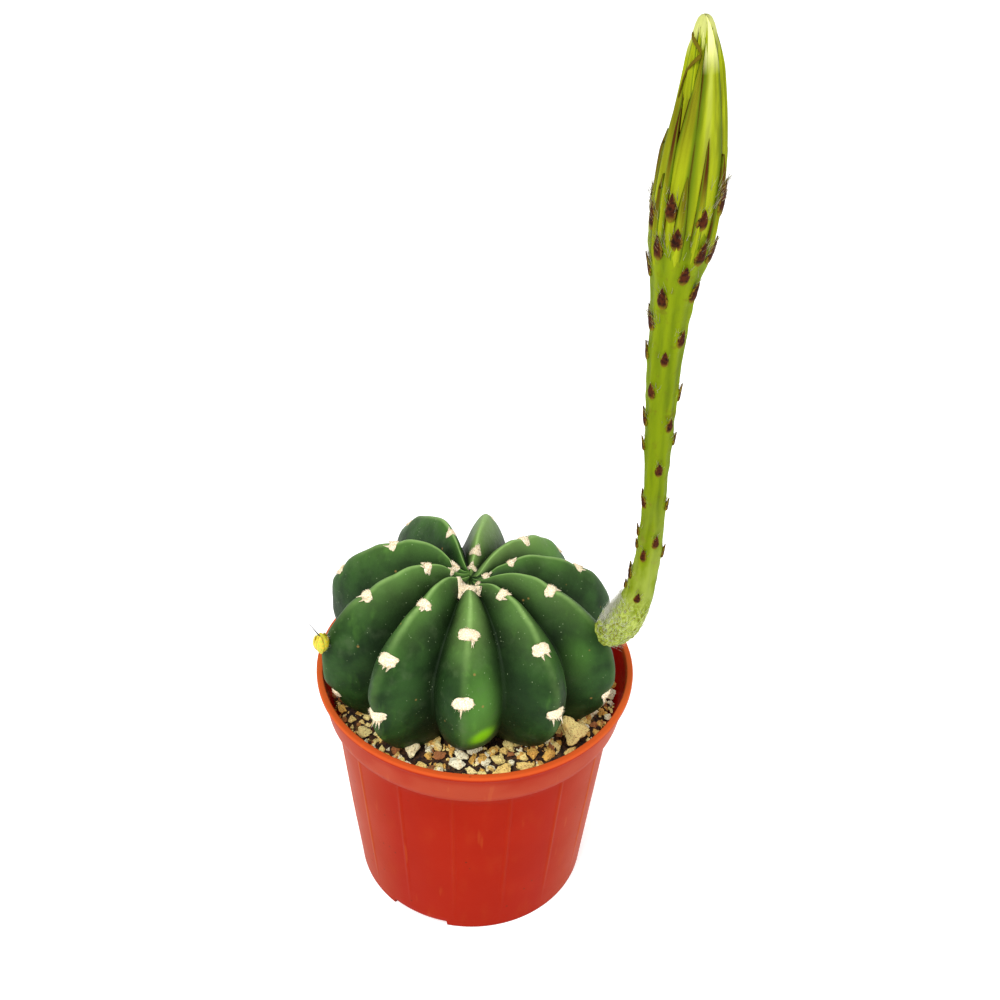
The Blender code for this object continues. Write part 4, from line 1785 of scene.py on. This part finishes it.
        def place(across: float, along: float) -> Vector:
            """The scale's surface.

            Args:
                across: The share round.
                along: The share along.

            Returns:
                The point.
            """
            spread = math.sin(math.pi * min(1, along**0.62)) ** 0.9
            spread *= 1 + 0.25 * rumple(Vector((across * 5, along * 5, spot.turn)), 1)
            round_turn = math.tau * across
            here = share + reach * (along - 0.5)
            side = width * math.cos(round_turn) * spread
            thick = self.scale_thickness * math.sin(round_turn) * (0.4 + spread)
            lift = 0.0002 + 0.0005 * along**2
            return self.spot(here, turn + side / self.girth(share), lift + thick)

        return laid(12, 12, place, {"along": lengthwise, "edge": leaf_edge})

    def axil_hair(self) -> Strands:
        """The hairs in the scales' axils.

        Returns:
            The strands.
        """
        strands = Strands(segments=4, seed=17)
        draw = strands.draw
        for spot in self.all_scales():
            share = self.share_at(spot.height)
            frame = self.frame(share).to_3x3()
            edge_on = abs(math.cos(math.radians(spot.turn))) > 0.75
            lush = (48 if edge_on else 14) if spot.height > 0.19 else 12
            for _ in range(lush):
                turn = math.radians(spot.turn) + draw.gauss(0, 0.22)
                here = share + draw.uniform(-0.4, 0.5) * spot.length / self.span
                out = frame @ Vector((math.cos(turn), math.sin(turn), 0))
                way = out * draw.uniform(0.2, 0.6)
                way += frame @ Vector((draw.gauss(0, 0.25), draw.gauss(0, 0.25), 1))
                length = min(spot.length * draw.uniform(0.5, 0.9), self.longest_hair)
                bend = jitter(draw, 0.0006) + out * draw.uniform(-0.0004, 0.0003)
                tint = 0.25 + 0.75 * draw.random()
                strands.grow(self.spot(here, turn, -0.0001), way, bend, length, self.hair_radius, tint)
        return strands

    def foot_wool(self) -> Strands:
        """The wool on the foot, thickest on its upper side.

        Returns:
            The strands.
        """
        strands = Strands(segments=4, seed=19)
        draw = strands.draw
        for index in range(self.wool_strands):
            share = 0.16 * draw.random() ** 0.9
            turn = draw.gauss(math.pi - 0.2, 0.6) if index % 3 else draw.uniform(0, math.tau)
            frame = self.frame(share).to_3x3()
            out = frame @ Vector((math.cos(turn), math.sin(turn), 0))
            side = frame @ Vector((-math.sin(turn), math.cos(turn), 0))
            way = out * draw.uniform(0.1, 0.55) + side * draw.gauss(0, 0.35)
            way += frame @ UP * draw.uniform(0.5, 1.0)
            length = draw.uniform(0.0015, 0.0042) * (1 - share * 2)
            bend = -out * 0.0004 + side * draw.gauss(0, 0.0008)
            root = self.spot(share, turn, -0.0001)
            strands.grow(root, way, bend, length, self.wool_radius, 0.4 * draw.random())
        return strands

    def build(self) -> None:
        """Makes the tube, scales, hair and bud."""
        tube = piece("tube_skin", self.tube(), TubeSkin().material())
        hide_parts("flower_tube")
        scales = merged(self.scale(spot) for spot in self.all_scales())
        piece("tube_scales", scales, Scale().material())
        hair = Hair("brown_hair", srgb(206, 200, 130), srgb(88, 70, 60)).material()
        piece("tube_hair", self.axil_hair(), hair)
        wool = Hair("grey_wool", srgb(230, 230, 214), srgb(120, 110, 80)).material()
        piece("foot_wool", self.foot_wool(), wool)
        bud = piece("bud_tepals", self.bud(), BudSkin().material())
        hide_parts("flower_bud")


@dataclass
class YoungBud:
    """The small golden bud against the left rib."""

    globe: Globe
    radius: float = 0.0021
    length: float = 0.0066
    offset: float = 0.0018
    leaves: int = 9
    leaf_turn: float = 2.4
    hairs: int = 60
    hair_radius: float = 0.00003
    long_hair: tuple[float, float] = (0.0068, 0.00026)

    def build(self) -> None:
        """Makes the scaly bud and its few hairs."""
        out = radial(math.radians(self.globe.ribs[self.globe.young_rib].azimuth))
        side = UP.cross(out)
        middle = self.globe.young_seat() + (out + side) * self.offset
        turns = [index * self.leaf_turn for index in range(self.leaves)]
        shapes = [self.leaf(middle, turn, 1 - 0.05 * index) for index, turn in enumerate(turns)]
        shapes.append(self.heart(middle))
        bud = piece("young_scales", merged(shapes), YoungSkin().material())
        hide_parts("young_bud")
        strands = Strands(segments=3, seed=29)
        draw = strands.draw
        for _ in range(self.hairs):
            lean = radial(draw.uniform(0, math.tau))
            root = middle + lean * self.radius * 0.8 + UP * draw.uniform(-0.8, 0.6) * self.length / 2
            bend = jitter(draw, 0.0005)
            length = draw.uniform(0.0006, 0.0014)
            strands.grow(root, lean + UP * 0.4, bend, length, self.hair_radius, draw.random() * 0.6)
        root = middle + UP * 0.002 + side * 0.0008
        strands.grow(root, out * 0.55 + UP - side * 0.12, Vector(), *self.long_hair, 1.0)
        hair = Hair("bud_hair", srgb(214, 214, 204), srgb(70, 70, 70)).material()
        piece("young_hair", strands, hair)

    def heart(self, middle: Vector) -> bmesh.types.BMesh:
        """The bud's inner body.

        Args:
            middle: The bud's middle.

        Returns:
            The closed shape, with the marks of its material.
        """

        def place(across: float, along: float) -> Vector:
            """The inner body's surface."""
            reach = self.radius * 0.85 * math.sin(math.pi * along) ** 0.7
            return middle + radial(math.tau * across) * reach + UP * (along - 0.5) * self.length * 0.95

        return laid(24, 16, place, {"edge": steady(0.0)})

    def leaf(self, middle: Vector, turn: float, size: float) -> bmesh.types.BMesh:
        """One scale wrapped round the bud.

        Args:
            middle: The bud's middle.
            turn: The scale's turn.
            size: Its size.

        Returns:
            The closed shape, with the marks of its material.
        """

        def place(across: float, along: float) -> Vector:
            """The scale's surface.

            Args:
                across: The share round.
                along: The share along.

            Returns:
                The point.
            """
            swing = math.tau * across
            spread = math.sin(math.pi * min(1, along * 0.97 + 0.03)) ** 0.7
            belly = math.sin(math.pi * (along * 0.78 + 0.12)) ** 0.7
            reach = self.radius * (0.86 + 0.14 * size) * belly + 0.00015 * math.sin(swing) * spread
            rise = (along * 0.98 - 0.5) * self.length * size
            return middle + radial(turn + 0.62 * math.cos(swing) * spread) * reach + UP * rise

        return laid(16, 14, place, {"edge": leaf_edge})


# ------------------------------------------------------------------ pot and mix


@dataclass
class NurseryPot:
    """The thin plastic pot: lip, band, lined body, notched foot and drained floor."""

    height: float = 0.0755
    rim: float = 0.0450
    rim_inner: float = 0.0432
    band_foot: tuple[float, float] = (0.0424, 0.0636)
    body_top: float = 0.0402
    base: float = 0.0344
    wall: float = 0.0012
    lip: float = 0.0014
    disc: float = 0.013
    lift: float = 0.002
    lines: int = 16
    line_width: float = 0.00042
    line_proud: float = 0.00025
    line_foot: float = 0.0040
    notches: tuple[float, ...] = (-26, 94, 214)
    notch_size: tuple[float, float] = (0.018, 0.0018)
    first_line: float = math.radians(15)
    line_fade: float = 0.02
    ring_gap: float = 0.0055
    holes: int = 6
    hole_ring: float = 0.0235
    hole_radius: float = 0.0026
    lip_out: float = 0.0007
    lip_top: float = 0.0006
    # The least height that counts as the wall's inner face, and how far that lies in from the outer face.
    inner_face: tuple[float, float] = (0.02, 0.0007)
    edge: float = 0.0003
    rounding: tuple[float, float] = (0.0005, 0.0004)
    steps: int = 720

    def body_radius(self, height: float) -> float:
        """The body's outer radius at a height below the band."""
        return self.base + (self.body_top - self.base) * height / self.band_foot[1]

    def inside(self, radius: float, height: float) -> float:
        """1 on the wall's inner face, which is painted a deeper red as painted shade, and 0 elsewhere.

        Args:
            radius: A point's distance from the axis.
            height: Its height.

        Returns:
            The mark.
        """
        band_radius, band_height = self.band_foot
        outer = self.body_radius(height)
        if height > band_height:
            rise = (height - band_height) / (self.height - band_height)
            outer = band_radius + (self.rim - self.lip_out - band_radius) * rise
        lowest, depth = self.inner_face
        return float(radius < outer - depth and lowest < height < self.height - self.lip_top)

    def profile(self) -> list[tuple[float, float]]:
        """The wall's outline from the middle of the underside round to the floor's middle.

        Returns:
            The outline's radii and heights.
        """
        band_radius, band_height = self.band_foot
        rim, top, wall, edge, lift = self.rim, self.height, self.wall, self.edge, self.lift
        shoulder = top - self.lip
        floor = lift + wall
        over, under = self.rounding
        quarter = [(1 - math.sin(a), 1 - math.cos(a)) for a in (math.pi / 2 * step / 4 for step in range(5))]
        heights = [edge, self.line_foot * 0.6]
        heights += [self.line_foot + self.ring_gap * step for step in range(11)]
        slope = (rim - self.lip_out - band_radius) / (shoulder - band_height)
        band = [0.0005 + (shoulder - band_height - 0.0009) * step / 6 for step in range(7)]
        return [
            *((0, 0), (self.disc, 0), (self.disc + lift, lift)),
            *((self.base - wall, lift), (self.base - wall, 0), (self.base - edge, 0)),
            *((self.body_radius(z), z) for z in heights if z < band_height - 0.001),
            (self.body_radius(band_height - 0.0004), band_height - 0.0004),
            *((self.body_top + edge, band_height), (band_radius - edge, band_height + 0.0001)),
            *((band_radius + slope * z, band_height + z) for z in band),
            (rim - edge, shoulder),
            *((rim - 0.0001 * near, shoulder + 0.0002 * far) for near, far in quarter[1:]),
            *((rim - over * far, top - over * near) for near, far in quarter),
            *((self.rim_inner + under * near, top - under * far) for near, far in quarter),
            (self.rim_inner - under, top - 2 * self.lip),
            (band_radius - wall - under, band_height + wall),
            (self.body_radius(band_height) - wall, band_height - wall),
            *((self.body_radius(floor) - wall, floor), (self.disc + lift - under, floor)),
            *((self.disc - under, wall), (0, wall)),
        ]

    def marks(self, point: Vector) -> dict[str, float]:
        """What the plastic's material reads at a point of the spun outline.

        Args:
            point: The point.

        Returns:
            The marks, by name.
        """
        radius, height = point.xy.length, point.z
        pitch = math.tau / self.lines
        gap = (math.atan2(point.x, -point.y) - self.first_line + pitch / 2) % pitch - pitch / 2
        on_wall = radius > self.body_radius(height) - 0.0002
        on_body = on_wall and self.line_foot < height < self.band_foot[1] - 0.0005
        ramp = min(1, (height - self.line_foot) / self.line_fade)
        return {
            "height": height / self.height,
            "lip": float(height > self.height - self.lip_top),
            "line": bell(gap * radius, self.line_width) * on_body * ramp,
            # Painted reflection: where the sides, seen from the front, are painted lighter.
            "side_sheen": clamped((abs(point.x) / radius - 0.55) / 0.45),
            "inside": self.inside(radius, height),
        }

    def worked(self, point: Vector, line: float) -> Vector:
        """Raises a line, cuts a notch and makes the wall a little uneven.

        Args:
            point: A point of the spun outline.
            line: The mark of the raised lines there.

        Returns:
            The point's place on the pot.
        """
        radius, height = point.xy.length, point.z
        azimuth = math.atan2(point.x, -point.y)
        wave = 0.00012 * math.sin(azimuth * 2 + 0.6) + 0.00006 * math.sin(azimuth * 5)
        place = point + radial(azimuth) * (line * self.line_proud + wave * (height / self.height) ** 2)
        width, depth = self.notch_size
        gaps = [abs(math.remainder(azimuth - math.radians(notch), math.tau)) for notch in self.notches]
        if min(gaps) < width / 2 / self.base and radius > self.base - self.wall - 0.0005:
            place.z = max(height, depth)
        return place

    def shape(self) -> bmesh.types.BMesh:
        """Spins the outline, then works and marks each point.

        Returns:
            The closed shape, with the marks of its material.
        """
        shape = bmesh.new()
        names = ("height", "lip", "line", "side_sheen", "inside")
        layers = {name: shape.verts.layers.float.new(name) for name in names}
        points = [shape.verts.new((radius, 0, height)) for radius, height in self.profile()]
        edges = [shape.edges.new(pair) for pair in zip(points, points[1:])]
        bmesh.ops.spin(
            shape, geom=points + edges, cent=(0, 0, 0), axis=(0, 0, 1), angle=math.tau,
            steps=self.steps, use_merge=True,
        )
        bmesh.ops.remove_doubles(shape, verts=shape.verts, dist=0.00001)
        for vert in shape.verts:
            if vert.co.xy.length > 0.001:
                marks = self.marks(vert.co)
                for name, value in marks.items():
                    vert[layers[name]] = value
                vert.co = self.worked(vert.co, marks["line"])
        bmesh.ops.recalc_face_normals(shape, faces=shape.faces)
        return shape

    def build(self) -> None:
        """Makes the pot, with its drain holes cut."""
        pot = piece("pot_shell", self.shape(), PotPlastic().material())
        cutter = bmesh.new()
        for index in range(self.holes):
            spot = radial(math.tau * (index + 0.5) / self.holes) * self.hole_ring + UP * self.lift
            bmesh.ops.create_cone(
                cutter, cap_ends=True, segments=24, radius1=self.hole_radius, radius2=self.hole_radius,
                depth=0.006, matrix=Matrix.Translation(spot),
            )
        drill = placed("drill", mesh_of(cutter, "drill"))
        cut = pot.modifiers.new("drain", "BOOLEAN")
        cut.operation = "DIFFERENCE"
        cut.solver = "MANIFOLD"
        cut.object = drill
        graph = bpy.context.evaluated_depsgraph_get()
        mesh = bpy.data.meshes.new_from_object(pot.evaluated_get(graph))
        pot.modifiers.clear()
        pot.data = mesh
        bpy.data.objects.remove(drill)
        mesh.set_sharp_from_angle(angle=math.radians(40))
        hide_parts("pot")


class StoneKind(Enum):
    """How a stone of the mix looks: the range of its tint."""

    DARK = (0.0, 0.04)
    ROSE = (0.13, 0.2)
    TAN = (0.24, 0.36)
    CREAM = (0.4, 0.8)
    WHITE = (0.85, 1.0)


@dataclass(frozen=True)
class StoneSpot:
    """A stone, given by azimuth in degrees, reach, its three sizes and its kind."""

    azimuth: float
    reach: float
    sizes: tuple[float, float, float]
    kind: StoneKind = StoneKind.CREAM


@dataclass
class PottingMix:
    """Dark peat with pumice and gravel, from the pot's floor to below its rim."""

    pot: NurseryPot
    top: float = 0.0655
    low: float = 0.0035
    gap: float = 0.0003
    ring: tuple[float, float] = (0.0255, 0.0412)
    neck_hole: tuple[float, float] = (0.0116, 0.0189)
    neck_axis: Vector = field(default_factory=lambda: Vector((0.0007, -0.002, 0)))
    # Counts of loose stones and crumbs, with their least and greatest half sizes.
    rocks: tuple[int, float, float] = (2300, 0.0007, 0.0020)
    crumbs: tuple[int, float, float] = (4200, 0.0003, 0.0009)
    # How many in 26 loose stones are of each kind.
    kinds: tuple[tuple[StoneKind, int], ...] = (
        (StoneKind.CREAM, 11), (StoneKind.WHITE, 4), (StoneKind.TAN, 5), (StoneKind.ROSE, 2),
        (StoneKind.DARK, 4),
    )
    wedge_azimuth: float = math.radians(51)
    wedge_reach: float = 0.0343
    wedge_rise: float = 0.0056
    wedge_grains: tuple[tuple[float, float], ...] = ((0.0009, 0.0028), (0.0003, 0.0008))
    soil_grains: tuple[tuple[float, float], ...] = ((0.0010, 0.0035), (0.0006, 0.0012))
    # What loose stones keep clear of the wedge: azimuth in degrees, reach and radius.
    wedge_clear: tuple[float, float, float] = (52, 0.0350, 0.0035)
    large: tuple[StoneSpot, ...] = (
        StoneSpot(85, 0.0388, (0.0021, 0.0020, 0.0018), StoneKind.WHITE),
        StoneSpot(92, 0.0395, (0.0018, 0.0024, 0.0016), StoneKind.TAN),
        StoneSpot(72, 0.0396, (0.0014, 0.0013, 0.0011), StoneKind.WHITE),
        StoneSpot(65, 0.0372, (0.0013, 0.0012, 0.0010), StoneKind.ROSE),
        StoneSpot(61, 0.0398, (0.0014, 0.0020, 0.0011), StoneKind.TAN),
        StoneSpot(45.5, 0.0372, (0.0028, 0.0013, 0.0010), StoneKind.CREAM),
        StoneSpot(36, 0.0345, (0.0024, 0.0023, 0.0017), StoneKind.TAN),
        StoneSpot(31, 0.0315, (0.0019, 0.0018, 0.0015), StoneKind.TAN),
        StoneSpot(23.6, 0.0352, (0.0026, 0.0021, 0.0018), StoneKind.CREAM),
        StoneSpot(13.4, 0.0350, (0.0030, 0.0023, 0.0018), StoneKind.CREAM),
        StoneSpot(20, 0.0295, (0.0014, 0.0012, 0.0010), StoneKind.ROSE),
        StoneSpot(12.5, 0.0305, (0.0020, 0.0017, 0.0014), StoneKind.CREAM),
        StoneSpot(-5.9, 0.0285, (0.0025, 0.0014, 0.0011), StoneKind.WHITE),
        StoneSpot(-8.1, 0.0318, (0.0025, 0.0019, 0.0014), StoneKind.WHITE),
        StoneSpot(-0.4, 0.0335, (0.0021, 0.0016, 0.0013), StoneKind.CREAM),
        StoneSpot(-23.3, 0.0345, (0.0019, 0.0012, 0.0009), StoneKind.CREAM),
        StoneSpot(-30.7, 0.0318, (0.0034, 0.0026, 0.0030), StoneKind.WHITE),
        StoneSpot(-37.8, 0.0340, (0.0016, 0.0014, 0.0013), StoneKind.ROSE),
        StoneSpot(-44, 0.0360, (0.0014, 0.0012, 0.0010), StoneKind.CREAM),
        StoneSpot(-55.7, 0.0363, (0.0022, 0.0021, 0.0017), StoneKind.CREAM),
        StoneSpot(-65.6, 0.0372, (0.0017, 0.0014, 0.0012), StoneKind.CREAM),
        StoneSpot(-73.4, 0.0388, (0.0017, 0.0012, 0.0011), StoneKind.TAN),
        StoneSpot(-82, 0.0398, (0.0010, 0.0012, 0.0010), StoneKind.ROSE),
        StoneSpot(-17.8, 0.0300, (0.0021, 0.0016, 0.0012), StoneKind.ROSE),
        StoneSpot(-11.1, 0.0352, (0.0016, 0.0009, 0.0008), StoneKind.CREAM),
    )

    def ground(self) -> bmesh.types.BMesh:
        """The peat: crumbly on top, plain against the pot and round the root neck.

        Returns:
            The closed shape.
        """
        outer = self.pot.body_radius(self.pot.band_foot[1]) - self.pot.wall - self.gap
        base = self.pot.body_radius(self.low) - self.pot.wall - self.gap
        hole, depth = self.neck_hole
        outline = [(0, self.low, 0), (base, self.low, 0), (outer, self.pot.band_foot[1] - self.pot.wall, 0)]
        outline += [(outer + 0.0002, self.top - 0.0008, 1)]
        outline += [(outer - (outer - hole) * step / 26, self.top, 1) for step in range(26)]
        outline += [(hole, self.top, 2), (hole, self.top - depth, 2), (0, self.top - depth, 2)]

        def place(across: float, along: float) -> Vector:
            """The outline turned round: kind 1 is rough, and kind 2 turns round the neck's axis.

            Args:
                across: The share round.
                along: The share along.

            Returns:
                The point.
            """
            radius, height, kind = outline[round(along * (len(outline) - 1))]
            point = radial(math.tau * across) * radius + UP * height
            if kind == 1:
                edge = max(0, (radius - 0.037) / 0.004)
                point.z += min(rugged(point, *self.soil_grains), 0.0008) - 0.0006 * edge
            return point + self.neck_axis if kind == 2 else point

        return laid(240, len(outline) - 1, place, {})

    def rock(self, draw: random.Random, corners: int, detail: int) -> bmesh.types.BMesh:
        """A rough stone of unit size.

        Args:
            draw: The random draws.
            corners: How many corners its hull is drawn from.
            detail: How many times its faces are split and roughened.

        Returns:
            The closed shape.
        """
        shape = bmesh.new()
        for _ in range(corners):
            shape.verts.new(jitter(draw, 1).normalized() * draw.uniform(0.8, 1.1))
        hull = bmesh.ops.convex_hull(shape, input=shape.verts[:])
        loose = [item for item in hull["geom_interior"] if isinstance(item, bmesh.types.BMVert)]
        bmesh.ops.delete(shape, geom=loose, context="VERTS")
        if detail:
            self.chip(shape, 0.07, detail)
            offset = Vector([draw.uniform(0, 50) for _ in range(3)])
            for vert in shape.verts:
                rough = 0.24 * noise.noise(vert.co * 2 + offset) + 0.16 * noise.noise(vert.co * 5.5 + offset)
                vert.co *= 1 + rough
        return shape

    def chip(self, shape: bmesh.types.BMesh, edge: float, splits: int) -> None:
        """Breaks a stone's edges, then splits its faces finely enough to roughen.

        Args:
            shape: The stone, which it changes.
            edge: How much of each edge goes.
            splits: How many times each edge is halved.
        """
        bmesh.ops.bevel(
            shape, geom=list(shape.edges), offset=edge, segments=1, profile=0.5, affect="EDGES", material=-1
        )
        bmesh.ops.triangulate(shape, faces=shape.faces)
        for _ in range(splits):
            bmesh.ops.subdivide_edges(shape, edges=shape.edges, cuts=1, use_grid_fill=True)

    def stones(self) -> Heap:
        """The large listed stones, then smaller ones and crumbs over the ring.

        Returns:
            The heap of stones.
        """
        heap = Heap()
        draw = random.Random(41)
        azimuth, reach, half = self.wedge_clear
        taken = [(radial(math.radians(azimuth)) * reach, half)]
        for spot in self.large:
            self.lay(heap, arrays(self.rock(draw, 16, 2)), draw, spot, 0.75)
            taken.append((radial(math.radians(spot.azimuth)) * spot.reach, spot.sizes[0]))
        rocks = [arrays(self.rock(draw, 16, 0)) for _ in range(18)]
        crumbs = [arrays(self.rock(draw, 8, 0)) for _ in range(14)]
        kinds = [kind for kind, count in self.kinds for _ in range(count)]
        inner, outer = self.ring
        for (count, low, high), forms in ((self.rocks, rocks), (self.crumbs, crumbs)):
            for _ in range(count):
                azimuth = draw.uniform(-math.pi, math.pi)
                size = draw.uniform(low, high)
                reach = math.sqrt(draw.uniform(inner**2, (outer - size) ** 2))
                place = radial(azimuth) * reach
                if any((place - stone).length < half + size * 0.4 for stone, half in taken):
                    continue
                sizes = tuple(size * draw.uniform(0.6, 1) for _ in range(3))
                form = draw.choice(forms)
                spot = StoneSpot(math.degrees(azimuth), reach, sizes, draw.choice(kinds))
                self.lay(heap, form, draw, spot, 0.45)
        return heap

    def lay(
        self,
        heap: Heap,
        form: tuple[np.ndarray, np.ndarray],
        draw: random.Random,
        spot: StoneSpot,
        rise: float,
    ) -> None:
        """Lays one stone on the peat, which is a little higher round the globe.

        Args:
            heap: What it joins.
            form: The points and triangles of its shape, of unit size.
            draw: The random draws.
            spot: Its place, sizes and kind.
            rise: The share of its half height that its middle stands above the peat.
        """
        azimuth = math.radians(spot.azimuth)
        turn = Matrix.Rotation(draw.uniform(-0.5, 0.5) + azimuth, 3, "Z")
        turn = turn @ Matrix.Rotation(draw.uniform(-0.3, 0.3), 3, "X")
        bank = 0.0009 * max(0, 1 - (spot.reach - self.ring[0]) / 0.008)
        place = radial(azimuth) * spot.reach + UP * (self.top - 0.0004 + bank + spot.sizes[2] * rise)
        points, faces = form
        matrix = np.array(turn) @ np.diag(spot.sizes)
        heap.add(points @ matrix.T + np.array(place), faces, draw.uniform(*spot.kind.value))

    def wedge(self) -> bmesh.types.BMesh:
        """The large wedge-shaped stone that leans against the globe's side.

        Returns:
            The closed shape.
        """
        out = radial(self.wedge_azimuth)
        seat = facing(out * self.wedge_reach + UP * (self.top + self.wedge_rise), out + UP * 0.8, UP)
        stand = Matrix.Rotation(-math.pi / 2, 4, "X") @ Matrix.Diagonal((1.15, 0.65, 1, 1))
        shape = bmesh.new()
        bmesh.ops.create_cone(
            shape, cap_ends=True, segments=5, radius1=0.0042, radius2=0.0012, depth=0.0072,
            matrix=seat @ stand,
        )
        self.chip(shape, 0.0003, 4)
        lean = seat.inverted()
        for vert in shape.verts:
            vert.co += seat.to_3x3() @ Vector((-0.35 * (lean @ vert.co).y, 0, 0))
            rough = rugged(vert.co, *self.wedge_grains)
            vert.co += (vert.co - seat.translation).normalized() * rough
        return shape

    def build(self) -> None:
        """Makes the peat and the stones."""
        peat = piece("peat_ground", self.ground(), Peat().material())
        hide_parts("potting_mix")
        heap = self.stones()
        heap.add(*arrays(self.wedge()), 0.55)
        stones = piece("grit_stones", heap, Grit().material())
        stones.data.set_sharp_from_angle(angle=math.radians(50))


# ------------------------------------------------------------------ studio


@dataclass
class Studio:
    """Plain near-white floor, soft light all round and the camera."""

    eye: Vector = field(default_factory=lambda: Vector((0, -0.266405, 0.317673)))
    right: Vector = field(default_factory=lambda: Vector((0.9996251, -0.00182243, 0.02731935)))
    upward: Vector = field(default_factory=lambda: Vector((-0.02133083, 0.57371879, 0.81877454)))
    lens: float = 45.08
    sky: float = 0.95
    target: Vector = field(default_factory=lambda: Vector((0, 0, 0.08)))
    # Name, place, size and power of each lamp.
    lamps: tuple[tuple[str, tuple[float, float, float], float, float], ...] = (
        ("key", (-0.35, -0.55, 0.9), 0.5, 7.0),
        ("fill", (0.6, -0.3, 0.5), 0.6, 1.5),
    )

    def camera(self) -> None:
        """Places the camera."""
        data = bpy.data.cameras.new("camera")
        data.lens = self.lens
        data.sensor_width = 36
        data.clip_start = 0.01
        camera = placed("camera", data)
        turn = Matrix((self.right, self.upward, self.right.cross(self.upward))).transposed().to_4x4()
        camera.matrix_world = Matrix.Translation(self.eye) @ turn
        bpy.context.scene.camera = camera

    def lights(self) -> None:
        """Soft light from all round, with a broad lamp above and to the left."""
        world = bpy.data.worlds.new("studio")
        bpy.context.scene.world = world
        world.use_nodes = True
        sky = world.node_tree.nodes["Background"]
        sky.inputs["Color"].default_value = (1, 1, 1, 1)
        sky.inputs["Strength"].default_value = self.sky
        for name, place, size, power in self.lamps:
            lamp = bpy.data.lights.new(name, "AREA")
            lamp.size = size
            lamp.energy = power
            holder = placed(name, lamp)
            holder.location = place
            holder.rotation_euler = (Vector(place) - self.target).to_track_quat("Z", "Y").to_euler()

    def floor(self) -> None:
        """A plain near-white floor."""
        shape = bmesh.new()
        bmesh.ops.create_grid(shape, x_segments=1, y_segments=1, size=6)
        mesh = mesh_of(shape, "floor")
        graph = Graph("floor_white")
        white = (0.95, 0.95, 0.95, 1)
        mesh.materials.append(
            graph.finish(base_color=white, roughness=0.9, emission_color=white, emission_strength=0.35)
        )
        floor = placed("floor", mesh)

    def build(self) -> None:
        """Sets the view, the light and the floor."""
        self.camera()
        self.lights()
        self.floor()
        bpy.context.scene.view_settings.view_transform = "Standard"


def main() -> None:
    """Builds the pot, its mix, the plant and the studio, in that order."""
    logging.basicConfig(level=logging.INFO, format="%(name)s %(message)s")
    pot = NurseryPot()
    pot.build()
    PottingMix(pot).build()
    globe = Globe()
    globe.build()
    Flower(globe).build()
    YoungBud(globe).build()
    Studio().build()


if __name__ == "__main__":
    main()
